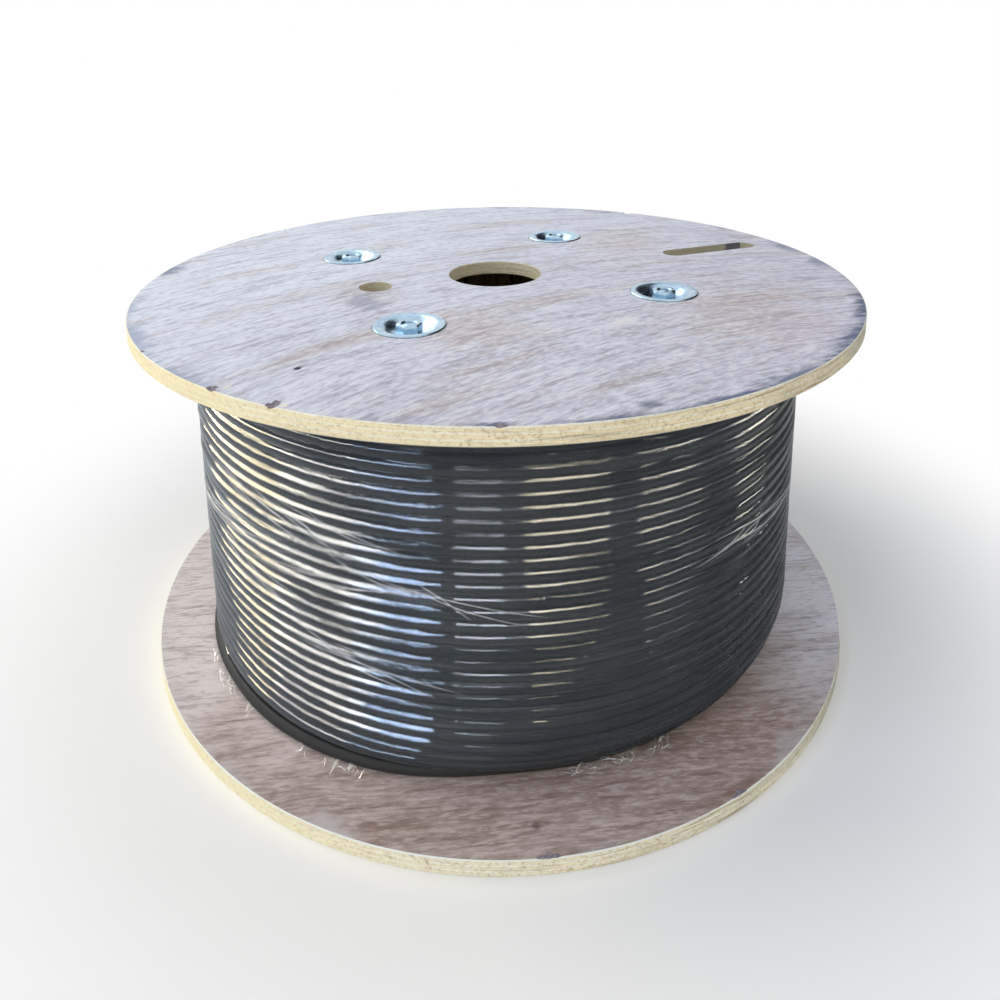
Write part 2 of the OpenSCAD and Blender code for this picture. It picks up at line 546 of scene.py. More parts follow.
@dataclass(frozen=True)
class WeatheredVeneer:
    """Grey, rain washed birch veneer, with its grain along one direction."""

    name: str
    pale: str
    warm: str
    brown: str
    pore: str
    stain: str
    bleached: str
    grain_turn: float
    warm_side: float
    stain_inner: float
    seed: float
    grain_contrast: float = 1.0
    grain_bow: float = 0.0
    bow_centre: float = -0.10
    grain_wave: float = 0.025
    grain_scale: Pair = (24.0, 200.0)
    warm_from: float = -0.08
    warm_to: float = 0.36
    tints: tuple[VeneerMark, ...] = ()
    marks: tuple[VeneerMark, ...] = ()

    def make(self) -> Material:
        """Return the veneer's material."""
        graph = FinishGraph(self.name)
        place = graph.place()
        waved = self.along_grain(graph, place)
        cloud = graph.pattern(place, (7.0, 7.0, 7.0), self.seed + 1.0, 3.0, 0.55)
        streaky = graph.pattern(waved, (40.0, 150.0, 1.0), self.seed + 17.0, 6.0, 0.75)
        side = graph.toward(place, self.warm_side)
        side_share = graph.fade(graph.times(cloud, 0.3, side), self.warm_from, self.warm_to)
        colour = graph.blend(side_share, self.pale, self.warm)
        colour = self.marked(graph, colour, place, streaky, self.tints)
        colour, depth = self.grained(graph, colour, waved)
        colour = self.marked(graph, self.stained(graph, colour, place, cloud), place, streaky, self.marks)
        rough = graph.fade(depth, 0.0, 0.5, 0.66, 0.78)
        normal = graph.bump(graph.times(depth, -1.0), 0.5 * MM, 0.45)
        return graph.close(graph.principled(base_color=colour, roughness=rough, normal=normal))

    def along_grain(self, graph: FinishGraph, place: Socket) -> Socket:
        """Bend coordinates along the grain.

        Args:
            graph: The material's tree.
            place: Object coordinates.

        Returns:
            Coordinates whose X follows the grain, with its bow and its slight waves.
        """
        drift = graph.pattern(place, (5.0, 11.0, 1.0), self.seed, turn=self.grain_turn)
        x, y, z = graph.parts(graph.stretch(place, (1.0, 1.0, 1.0), self.grain_turn))
        beyond = graph.minus(x, self.bow_centre)
        bowed = graph.times(graph.times(beyond, beyond), self.grain_bow, y)
        return graph.join(x, graph.times(drift, self.grain_wave, bowed), z)

    def grained(self, graph: FinishGraph, colour: Socket, waved: Socket) -> tuple[Socket, Socket]:
        """Lay bands, grain, pores and fuzz over a colour.

        Args:
            graph: The material's tree.
            colour: The colour below the grain.
            waved: Coordinates along the grain.

        Returns:
            The grained colour, and how deep the grain lies.
        """
        along, across = self.grain_scale
        contrast = self.grain_contrast
        grain = graph.pattern(waved, (along, across, 1.0), self.seed + 3.0, 3.0, 0.6)
        pores = graph.pattern(waved, (1.5 * along, 2.6 * across, 1.0), self.seed + 9.0)
        bands = graph.pattern(waved, (3.5, 26.0, 1.0), self.seed + 5.0, 4.0, 0.6)
        fuzz = graph.pattern(waved, (6.0 * along, 2.0 * across, 1.0), self.seed + 13.0, 2.0, 0.6)
        grain_share = graph.fade(grain, 0.49, 0.68, 0.0, 0.42 * contrast)
        pore_share = graph.fade(pores, 0.60, 0.70, 0.0, 0.4 * contrast)
        layers = (
            (graph.fade(bands, 0.50, 0.74, 0.0, 0.55), self.brown),
            (grain_share, self.pore),
            (graph.fade(grain, 0.48, 0.34, 0.0, 0.3 * contrast), self.bleached),
            (pore_share, self.pore),
            (graph.fade(fuzz, 0.34, 0.5, 0.4 * contrast, 0.0), self.bleached),
            (graph.fade(fuzz, 0.52, 0.68, 0.0, 0.34 * contrast), self.pore),
        )
        return graph.layered(colour, layers), graph.plus(grain_share, pore_share)

    def marked(
        self, graph: FinishGraph, colour: Socket, place: Socket, streaky: Socket, marks: Sequence[VeneerMark]
    ) -> Socket:
        """Return the colour with marks laid over it.

        Args:
            graph: The material's tree.
            colour: The colour below the marks.
            place: Object coordinates.
            streaky: A noise along the grain, which makes their outlines ragged.
            marks: The marks.

        Returns:
            The marked colour.
        """
        uneven = graph.minus(streaky, 0.5)
        for mark in marks:
            turn = radians(mark.angle)
            offset = graph.vector("SUBTRACT", place, tuple(polar(mark.radius, turn)))
            near = graph.stretch(offset, (1.0 / mark.across, 1.0 / mark.along, 0.0), turn)
            gap = graph.measure("LENGTH", near)
            gap = graph.times(uneven, mark.ragged, gap)
            colour = graph.blend(graph.fade(gap, 1.0, 0.2, 0.0, mark.share), colour, mark.colour)
        return colour

    def stained(self, graph: FinishGraph, colour: Socket, place: Socket, cloud: Socket) -> Socket:
        """Return the colour with damp stains that creep in from the rim.

        Args:
            graph: The material's tree.
            colour: The clean veneer's colour.
            place: Object coordinates.
            cloud: A broad noise.

        Returns:
            The stained colour.
        """
        radius = graph.reach(place)
        patches = graph.pattern(place, (16.0, 16.0, 16.0), self.seed + 7.0, 4.0, 0.6)
        reach = graph.times(graph.minus(patches, 0.5), 0.10, radius)
        share = graph.fade(reach, self.stain_inner, SIZES.rim_radius + 12.0 * MM)
        share = graph.times(share, graph.fade(cloud, 0.40, 0.62, 0.1, 0.85))
        return graph.blend(share, colour, self.stain)


@dataclass(frozen=True)
class SawnPlyEdge:
    """The sawn edge of birch plywood, its plies lying one over the other."""

    name: str
    base: float
    thickness: float
    ply_edges: tuple[float, ...]
    along: str
    across: str
    glue: str
    arris_share: float
    painted_shade_share: float
    seed: float
    painted_shade_spans: tuple[Pair, ...]
    tan: str = "cbaa78"
    streak: str = "8f7a52"
    speck: str = "97835a"
    # Painted shade: the grey-olive that the walls inside the holes and the slot take.
    hollow_shade: str = "a5a08a"
    arris: str = "f3f5f0"
    grime: str = "c6b896"
    # Painted shade: edges on the shaded side turn this grey. Painted light: edges on the opposite side turn
    # the bleached colour.
    painted_shade_grey: str = "a9aa98"
    painted_shade_side: float = radians(-14.0)
    bleached: str = "fdeebb"
    # The colour of the painted shade on the slot's far wall.
    painted_shade_colour: str = "4a4c5a"

    def make(self) -> Material:
        """Return the edge's material."""
        graph = FinishGraph(self.name)
        place = graph.place()
        x, y, z = graph.parts(place)
        wobble = graph.pattern(place, (30.0, 30.0, 30.0), self.seed)
        level = graph.math("DIVIDE", graph.minus(z, self.base), self.thickness)
        level = graph.times(graph.minus(wobble, 0.5), 0.05, level)
        stops = []
        for number, (low, high) in enumerate(zip(self.ply_edges, self.ply_edges[1:])):
            ply = srgb(self.along if number % 2 == 0 else self.across)
            stops += [(low + GLUE_SHARE, ply), (high - GLUE_SHARE, ply), (high, srgb(self.glue))]
        colour = graph.ramp(level, stops[:-1])
        fibres = graph.pattern(place, (90.0, 90.0, 900.0), self.seed + 2.0, 4.0, 0.6)
        colour = graph.blend(graph.times(graph.fade(fibres, 0.5, 0.75), 0.4), colour, self.glue)
        mottle = graph.pattern(place, (300.0, 300.0, 420.0), self.seed + 8.0, 5.0, 0.75)
        colour = graph.blend(graph.fade(mottle, 0.46, 0.70, 0.0, 0.65), colour, self.tan)
        ends = graph.pattern(place, (420.0, 420.0, 560.0), self.seed + 4.0, 3.0, 0.6)
        share = graph.fade(ends, 0.58, 0.70, 0.0, 0.55)
        colour = graph.blend(share, colour, self.speck)
        colour = self.weathered_with_painted_light(graph, colour, place, level)
        # Painted shade: a dark patch on the slot's far wall, near its outer end.
        for start, end in self.painted_shade_spans:
            painted_shade = graph.times(graph.fade(x, start, start + 6.0 * MM), graph.fade(x, end + 1.0 * MM, end))
            painted_shade = graph.times(painted_shade, graph.fade(graph.math("ABSOLUTE", y), 0.012, 0.011, 0.0, 0.85))
            colour = graph.blend(painted_shade, colour, self.painted_shade_colour)
        height = graph.minus(graph.times(fibres, 0.5), share)
        normal = graph.bump(height, 0.6 * MM, 0.6)
        return graph.close(graph.principled(base_color=colour, roughness=0.78, normal=normal))

    def weathered_with_painted_light(self, graph: FinishGraph, colour: Socket, place: Socket, level: Socket) -> Socket:
        """Return the edge's colour with grime, dark streaks, a worn arris, painted shade as a grey side and
        greyed hole walls, and painted light as a bleached opposite side.

        Args:
            graph: The material's tree.
            colour: The fresh wood's colour.
            place: Object coordinates.
            level: The height in the flange, from 0 to 1.

        Returns:
            The weathered colour, with its painted light and shade.
        """
        grime = graph.pattern(place, (9.0, 9.0, 40.0), self.seed + 6.0, 3.0, 0.55)
        lines = graph.pattern(place, (22.0, 22.0, 700.0), self.seed + 12.0, 4.0, 0.65)
        # The side mask paints one side's edges grey as painted shade and the opposite side's bleached pale,
        # with fewer dark streaks, as painted light.
        side = graph.times(graph.minus(grime, 0.5), 0.25, graph.toward(place, self.painted_shade_side))
        patchy = graph.fade(grime, 0.36, 0.52, 0.1, self.arris_share)
        layers = (
            (graph.fade(grime, 0.52, 0.72, 0.0, 0.35), self.grime),
            (graph.fade(side, 0.06, 0.30, 0.0, self.painted_shade_share), self.painted_shade_grey),
            (graph.fade(side, -0.05, -0.26, 0.0, 0.65), self.bleached),
            (graph.fade(lines, 0.50, 0.68, 0.0, graph.fade(side, -0.12, 0.12, 0.1, 0.75)), self.streak),
            (graph.times(graph.fade(level, 0.90, 0.96), patchy), self.arris),
            # Painted shade: walls inward of the rim, inside the holes and the slot, are greyed and darkened.
            (graph.fade(graph.reach(place), 0.295, 0.285, 0.0, 0.55), self.hollow_shade),
        )
        return graph.layered(colour, layers)


@dataclass(frozen=True)
class TornVeneer:
    """Dark torn wood where a splinter was torn out and in the nail holes: painted shade in these hollows,
    with lighter fibres.
    """

    name: str
    # The dark tone is painted shade in the chip and nail hollows.
    painted_shade: str = "746c78"
    light: str = "b3a8aa"

    def make(self) -> Material:
        """Return the torn wood's material."""
        graph = FinishGraph(self.name)
        fibres = graph.pattern(graph.place(), (300.0, 1500.0, 600.0), 0.0, 3.0, 0.6)
        colour = graph.blend(graph.fade(fibres, 0.42, 0.72), self.painted_shade, self.light)
        normal = graph.bump(fibres, 0.6 * MM, 0.7)
        return graph.close(graph.principled(base_color=colour, roughness=0.85, normal=normal))


@dataclass(frozen=True)
class CableSheath:
    """Black polyethylene sheath with light scuffs."""

    name: str = "cable_sheath"
    black: str = "0b0d0f"
    dust: str = "1e2123"
    smoothest: float = 0.36
    roughest: float = 0.5
    ior: float = 1.08
    scuff_scale: Triple = (14.0, 5.0, 0.0)
    pore_scale: Triple = (60.0, 9.0, 0.0)

    def make(self) -> Material:
        """Return the sheath's material, which reads the attributes along and around."""
        graph = FinishGraph(self.name)
        skin = graph.join(graph.attribute("along"), graph.attribute("around"))
        scuff = graph.noise(graph.vector("MULTIPLY", skin, self.scuff_scale), 1.0, 4.0, 0.6)
        colour = graph.blend(graph.fade(scuff, 0.55, 0.8), self.black, self.dust)
        rough = graph.fade(scuff, 0.35, 0.75, self.smoothest, self.roughest)
        pores = graph.noise(graph.vector("MULTIPLY", skin, self.pore_scale))
        normal = graph.bump(pores, 0.2 * MM, 0.1)
        return graph.close(graph.principled(base_color=colour, roughness=rough, ior=self.ior, normal=normal))


@dataclass(frozen=True)
class StretchFilm:
    """Clear stretch film, tight on some turns and slack on others, with a milky bloom where it is bunched,
    more haze and mirror on one side as painted light, and less mirror on another as painted shade.
    """

    name: str = "stretch_film"
    milk: str = "dce7f2"
    # Sides toward which light and shade are painted on the film: more haze and a brighter mirror toward the
    # first, more haze toward the second, less mirror under a flat haze toward the third.
    painted_sun_side: float = pi
    painted_sheen_side: float = radians(-140.0)
    film_shade_side: float = radians(-50.0)
    veil: float = 0.02
    bloom_haze: float = 0.6
    painted_sun_haze: float = 0.08
    painted_sheen_haze: float = 0.045
    film_shade_haze: float = 0.03
    film_shade_loss: float = 0.5
    gloss_rough: float = 0.05
    ior: float = 1.34

    def make(self) -> Material:
        """Return the film's material, which reads the attributes bloom and tight."""
        graph = FinishGraph(self.name)
        place = graph.place()
        bloom = graph.attribute("bloom")
        drawn = graph.pattern(place, (9.0, 9.0, 420.0), 1.0, 3.0, 0.6)
        crinkle = graph.pattern(place, (90.0, 90.0, 140.0), 8.0)
        slack = graph.pattern(place, (13.0, 13.0, 45.0), 5.0, 1.0)
        # Painted light: more milky haze toward the sunlit side and the pale side.
        painted_sun = graph.fade(graph.toward(place, self.painted_sun_side), 0.14, 0.256)
        pale = graph.fade(graph.toward(place, self.painted_sheen_side), 0.12, 0.255)
        # Painted shade: toward the dim side the mirror is weakened, under a flat haze.
        film_shade = graph.fade(graph.toward(place, self.film_shade_side), 0.14, 0.215)
        bunched = graph.times(bloom, self.bloom_haze, self.veil)
        haze = graph.times(graph.fade(drawn, 0.45, 0.75), bunched, self.veil)
        haze = graph.times(graph.times(painted_sun, painted_sun), self.painted_sun_haze, haze)
        haze = graph.times(pale, self.painted_sheen_haze, haze)
        haze = graph.times(film_shade, self.film_shade_haze, haze)
        height = graph.times(crinkle, graph.times(bloom, 0.35, 0.02))
        normal = graph.bump(graph.times(slack, 0.5, height), 0.5 * MM, 0.14)
        clear = graph.out("ShaderNodeBsdfTransparent", {"Color": CLEAR_FILM})
        gloss = graph.out("ShaderNodeBsdfGlossy", {"Roughness": self.gloss_rough, "Normal": normal})
        fresnel = graph.out("ShaderNodeFresnel", {"IOR": self.ior, "Normal": normal})
        # Painted light: the mirror keeps more of its strength toward the sunlit side.
        slackest = graph.times(painted_sun, 0.35, 0.3)
        mirror = graph.times(fresnel, graph.fade(graph.attribute("tight"), 0.34, 0.54, slackest, 1.0))
        # Painted shade: the mirror is weaker toward the dim side.
        mirror = graph.times(mirror, graph.times(film_shade, -self.film_shade_loss, 1.0))
        white = graph.out("ShaderNodeBsdfDiffuse", {"Color": srgb(self.milk), "Normal": normal})
        return graph.close(graph.layer(haze, graph.layer(mirror, clear, gloss), white))


@dataclass(frozen=True)
class GatheredFilm:
    """Film gathered into folds and scraps, milky and half clear."""

    name: str
    milk: str
    thin: float
    thick: float

    def make(self) -> Material:
        """Return the gathered film's material."""
        graph = FinishGraph(self.name)
        crumple = graph.noise(graph.place(), 300.0, 2.0, 0.5)
        normal = graph.bump(crumple, 0.5 * MM, 0.4)
        clear = graph.out("ShaderNodeBsdfTransparent", {"Color": CLEAR_FILM})
        milky = graph.principled(base_color=srgb(self.milk), roughness=0.3, normal=normal)
        share = graph.fade(crumple, 0.35, 0.65, self.thin, self.thick)
        return graph.close(graph.layer(share, clear, milky))


@dataclass(frozen=True)
class ZincPlate:
    """Bright zinc plated steel with handling marks, tinted blue as a painted reflection of blue sky."""

    name: str = "zinc_plate"
    # Both tones are tinted blue: painted reflection of blue sky.
    bright: str = "b8d3e6"
    dull: str = "9fb9ce"

    def make(self) -> Material:
        """Return the plating's material."""
        graph = FinishGraph(self.name)
        place = graph.place()
        mottle = graph.noise(place, 130.0, 3.0, 0.55)
        marks = graph.pattern(place, (120.0, 700.0, 120.0), turn=0.5)
        colour = graph.blend(graph.fade(mottle, 0.35, 0.7), self.bright, self.dull)
        rough = graph.fade(marks, 0.3, 0.75, 0.2, 0.34)
        normal = graph.bump(marks, 0.03 * MM, 0.25)
        return graph.close(graph.principled(base_color=colour, metallic=1.0, roughness=rough, normal=normal))


@dataclass(frozen=True)
class SawnSoftwood:
    """Rough sawn pine of the barrel staves, its grain upright."""

    name: str = "sawn_softwood"
    early: str = "b8a17a"
    late: str = "8c6b43"
    fibre: str = "7d5f3c"

    def make(self) -> Material:
        """Return the softwood's material."""
        graph = FinishGraph(self.name)
        place = graph.place()
        rings = graph.pattern(place, (120.0, 120.0, 4.0), 0.0, 3.0, 0.55)
        fibres = graph.pattern(place, (700.0, 700.0, 30.0), 0.0, 3.0, 0.6)
        colour = graph.blend(graph.fade(rings, 0.4, 0.7), self.early, self.late)
        colour = graph.blend(graph.times(graph.fade(fibres, 0.5, 0.8), 0.4), colour, self.fibre)
        normal = graph.bump(fibres, 0.5 * MM, 0.5)
        return graph.close(graph.principled(base_color=colour, roughness=0.8, normal=normal))


@dataclass(frozen=True)
class RimChip:
    """A splinter of veneer broken out of a flange's upper edge, in degrees and metres."""

    angle: float
    width: float
    reach: float
    depth: float


class OuterFace(Enum):
    """Which way a flange's outer face looks."""

    UP = "up"
    DOWN = "down"


class FlangeFinish(Enum):
    """The finishes of a flange, by the number of their material."""

    VENEER = 0
    EDGE = 1
    TORN = 2


@dataclass
class PlywoodFlange:
    """A round plywood flange with its bore, holes, pressed seats, ply relief and broken edges."""

    node: str
    outer: OuterFace
    veneer: WeatheredVeneer
    chips: tuple[RimChip, ...]
    seed: float
    slotted: bool = False
    nail_spots: tuple[Pair, ...] = ()
    edge_tones: tuple[str, str, str] = ("fff6de", "fbebc6", "e2ca9a")
    arris_share: float = 0.5
    # How strongly the edges on the shaded side are painted grey as shade.
    painted_shade_share: float = 0.7
    columns: int = 1200
    ply_edges: tuple[float, ...] = (0.0, 0.07, 0.25, 0.42, 0.58, 0.75, 0.93, 1.0)
    nail_radius: float = 2.3 * MM
    nail_depth: float = 4.0 * MM
    nail_sides: int = 14
    hole_sides: int = 72
    slot_steps: int = 20
    # Where along X the slot's far wall is painted dark as shade.
    slot_painted_shade: Pair = (0.246, 0.2655)
    inner_rings: tuple[float, ...] = (70.0 * MM, 110.0 * MM)
    outer_rings: tuple[float, ...] = (200.0 * MM, 235.0 * MM, 262.0 * MM)
    rim_gaps: tuple[float, ...] = tuple(gap * MM for gap in (20.0, 12.0, 8.5, 6.0, 4.2, 2.8, 1.7))
    cut_over: float = 2.0 * MM
    seat_bite: float = 0.3 * MM
    seat_play: float = 0.3 * MM
    seat_gap: float = 0.2 * MM
    hole_play: float = 0.5 * MM
    axis_gap: float = 0.01 * MM
    face_margin: float = 0.12 * MM
    torn_reach: float = 12.0 * MM
    torn_depth: float = 2.2 * MM

    def build(self) -> Piece:
        """Return the dressed flange."""
        low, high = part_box(self.node)
        self.low, self.high = low.z, high.z
        piece = new_piece(self.node + "_plywood", self.turned())
        cutter = self.cutters()
        boolean = piece.modifiers.new("holes", "BOOLEAN")
        boolean.object = cutter
        boolean.operation = "DIFFERENCE"
        boolean.solver = "EXACT"
        make_plain(piece)
        bpy.data.objects.remove(cutter)
        self.dress(piece)
        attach(piece, BODY)
        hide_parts(self.node)
        return piece

    def face_rows(self, height: float, grooved: bool, into: float) -> list[Pair]:
        """Return the rows of one flat face, from the bore to the rim.

        Args:
            height: The face's height.
            grooved: Whether the barrel's groove is cut in it.
            into: 1 or -1, the way up or down into the wood.

        Returns:
            Radius and height of each row.
        """
        inner = [SIZES.arbor_radius + SIZES.edge, *self.inner_rings, SIZES.groove_inner]
        near_rim = [SIZES.rim_radius - gap for gap in (*self.rim_gaps, SIZES.edge)]
        rows = [(radius, height) for radius in inner]
        if grooved:
            floor = height + into * SIZES.groove_depth
            rows += [(SIZES.groove_inner, floor), (SIZES.groove_outer, floor)]
        return rows + [(radius, height) for radius in (SIZES.groove_outer, *self.outer_rings, *near_rim)]

    def wall_rows(self, radius: float) -> list[Pair]:
        """Return the rows of a cut wall.

        Args:
            radius: The wall's radius.

        Returns:
            Radius and height of two rows for each ply, from the top down.
        """
        thickness = self.high - self.low
        rows = []
        for low, high in reversed(list(zip(self.ply_edges, self.ply_edges[1:]))):
            for share in (high - GLUE_SHARE, low + GLUE_SHARE):
                rows.append((radius, self.low + thickness * share))
        rows[0] = (radius, self.high - SIZES.edge)
        rows[-1] = (radius, self.low + SIZES.edge)
        return rows

    def turned(self) -> Mesh:
        """Return the turned disc with its relief, before the holes are cut."""
        inner_is_top = self.outer is OuterFace.DOWN
        top = self.face_rows(self.high, inner_is_top, -1.0)
        rim = self.wall_rows(SIZES.rim_radius)
        bottom = list(reversed(self.face_rows(self.low, not inner_is_top, 1.0)))
        bore = list(reversed(self.wall_rows(SIZES.arbor_radius)))
        points = turned_points(top + rim + bottom + bore, self.columns)
        self.carve_wall(points[len(top) : len(top) + len(rim)], 1.0)
        self.carve_wall(points[-len(bore) :], -1.0)
        for chip in self.chips:
            self.break_edge(points, chip)
        return grid_mesh(self.node + "_plywood", points, True)

    def carve_wall(self, rows: np.ndarray, outward: float) -> None:
        """Set the plies of a sawn wall back by slightly different amounts.

        Args:
            rows: The wall's points, which are changed.
            outward: 1 for the rim and -1 for the bore.
        """
        for number, row in enumerate(rows):
            for point in row:
                spot = Vector(point)
                tear = max(0.0, noise.noise(spot * 240.0 + Vector((self.seed, number * 0.4, 0.0))) - 0.2)
                broad = 0.5 + 0.5 * noise.noise(spot * 45.0 + Vector((0.0, number // 2 * 3.1, self.seed)))
                back = (0.06 + 0.12 * broad + 0.35 * tear) * MM
                if number in (0, len(rows) - 1):
                    back += 0.35 * tear * MM
                radius = hypot(spot.x, spot.y)
                point[:2] *= 1.0 - outward * back / radius

    def break_edge(self, points: np.ndarray, chip: RimChip) -> None:
        """Lower the upper rim where a splinter is gone.

        Args:
            points: All points of the disc, which are changed.
            chip: The missing splinter.
        """
        radius = np.hypot(points[..., 0], points[..., 1])
        turn = np.arctan2(points[..., 1], points[..., 0]) - radians(chip.angle)
        arc = ((turn + pi) % FULL_TURN - pi) * SIZES.rim_radius
        sideways = arc / (0.5 * chip.width)
        inward = (SIZES.rim_radius - radius) / chip.reach
        jag = 0.8 + 0.2 * np.sin(arc * 1300.0 + chip.angle)
        sunk = chip.depth * np.sqrt(np.clip(1.0 - sideways**2 - inward**2, 0.0, 1.0)) * jag
        level = self.high - sunk
        broken = (points[..., 2] > level) & (radius > SIZES.rim_radius - chip.reach)
        points[..., 2] = np.where(broken, level, points[..., 2])

    def cutters(self) -> Piece:
        """Return one object that holds the solids that the holes take away."""
        tools = [self.seat_cutter(i) for i in range(SIZES.bolt_count)]
        through = (self.low - self.cut_over, self.high + self.cut_over)
        drive = circle_outline(SIZES.drive_radius, self.hole_sides, (-SIZES.drive_offset, 0.0))
        tools.append(prism("drive_hole", drive, *through))
        if self.slotted:
            tools.append(prism("tail_slot", self.slot_outline(), *through))
        for radius, degrees in self.nail_spots:
            spot = polar(radius, radians(degrees))
            outline = circle_outline(self.nail_radius, self.nail_sides, (spot.x, spot.y))
            tools.append(prism("nail_hole", outline, self.high - self.nail_depth, self.high + self.cut_over))
        return join_pieces(self.node + "_holes", [new_piece(tool.name, tool) for tool in tools])

    def seat_cutter(self, number: int) -> Mesh:
        """Return the solid that cuts the seat of one pressed washer and its bolt hole.

        Args:
            number: Which bolt it is for, from 0.

        Returns:
            The solid, in its place on the bolt circle.
        """
        looks_up = self.outer is OuterFace.UP
        up = 1.0 if looks_up else -1.0
        face, back = (self.high, self.low) if looks_up else (self.low, self.high)
        bite = self.seat_bite if looks_up else SIZES.washer_thickness
        floor = face - up * (bite + SIZES.dish_depth + self.seat_gap)
        above = face + up * self.cut_over
        far = back - up * self.cut_over
        seat = SIZES.washer_radius + self.seat_play
        hole = SIZES.bolt_radius + self.hole_play
        outline = [
            (self.axis_gap, above),
            (seat, above),
            (seat, face - up * bite),
            (SIZES.dish_radius + SIZES.washer_thickness, face - up * bite),
            (SIZES.dish_floor_radius + SIZES.washer_thickness, floor),
            (hole, floor),
            (hole, far),
            (self.axis_gap, far),
        ]
        if not looks_up:
            outline.reverse()
        mesh = lathe("washer_seat", outline, self.hole_sides)
        centre = polar(SIZES.bolt_circle, SIZES.first_bolt + FULL_TURN * number / SIZES.bolt_count)
        mesh.transform(Matrix.Translation(centre))
        return mesh

    def slot_outline(self) -> list[Pair]:
        """Return the outline of the slot that the cable's tail passes through."""
        steps = [pi * i / self.slot_steps for i in range(self.slot_steps + 1)]
        half = SIZES.slot_half
        outer = [(SIZES.slot_end - half + half * sin(a), -half * cos(a)) for a in steps]
        inner = [(SIZES.slot_start + half - half * sin(a), half * cos(a)) for a in steps]
        return outer + inner

    def dress(self, piece: Piece) -> None:
        """Give the flat faces their veneer, the chips and nail holes the dark torn finish as painted shade,
        and every other cut or broken face the ply edge.

        Args:
            piece: The flange, which is changed.
        """
        edge = SawnPlyEdge(
            self.node + "_edge",
            self.low,
            self.high - self.low,
            self.ply_edges,
            *self.edge_tones,
            arris_share=self.arris_share,
            painted_shade_share=self.painted_shade_share,
            seed=self.seed,
            painted_shade_spans=(self.slot_painted_shade,) if self.slotted else (),
        )
        coat(piece, self.veneer.make(), edge.make(), TornVeneer(self.node + "_torn").make())
        for face in piece.data.polygons:
            face.material_index = self.finish_of(face.center, face.normal).value
        smooth(piece, 32.0)

    def finish_of(self, spot: Vector, normal: Vector) -> FlangeFinish:
        """Choose the finish of a face.

        Args:
            spot: The face's centre.
            normal: The face's normal.

        Returns:
            The finish.
        """
        radius = hypot(spot.x, spot.y)
        on_face = min(abs(spot.z - self.low), abs(spot.z - self.high)) < self.face_margin
        if on_face and abs(normal.z) > 0.9:
            return FlangeFinish.VENEER
        # Nail hole walls take the dark torn finish: painted shade in the hole.
        for nail_radius, degrees in self.nail_spots:
            nail = polar(nail_radius, radians(degrees))
            if hypot(spot.x - nail.x, spot.y - nail.y) < 1.5 * self.nail_radius:
                return FlangeFinish.TORN
        # Broken faces in the rim's chips take it too: painted shade in the chip.
        near_top = self.high - self.torn_depth < spot.z < self.high - self.face_margin
        near_rim = SIZES.rim_radius - self.torn_reach < radius < SIZES.rim_radius - SIZES.edge
        return FlangeFinish.TORN if near_top and near_rim and normal.z > 0.5 else FlangeFinish.EDGE


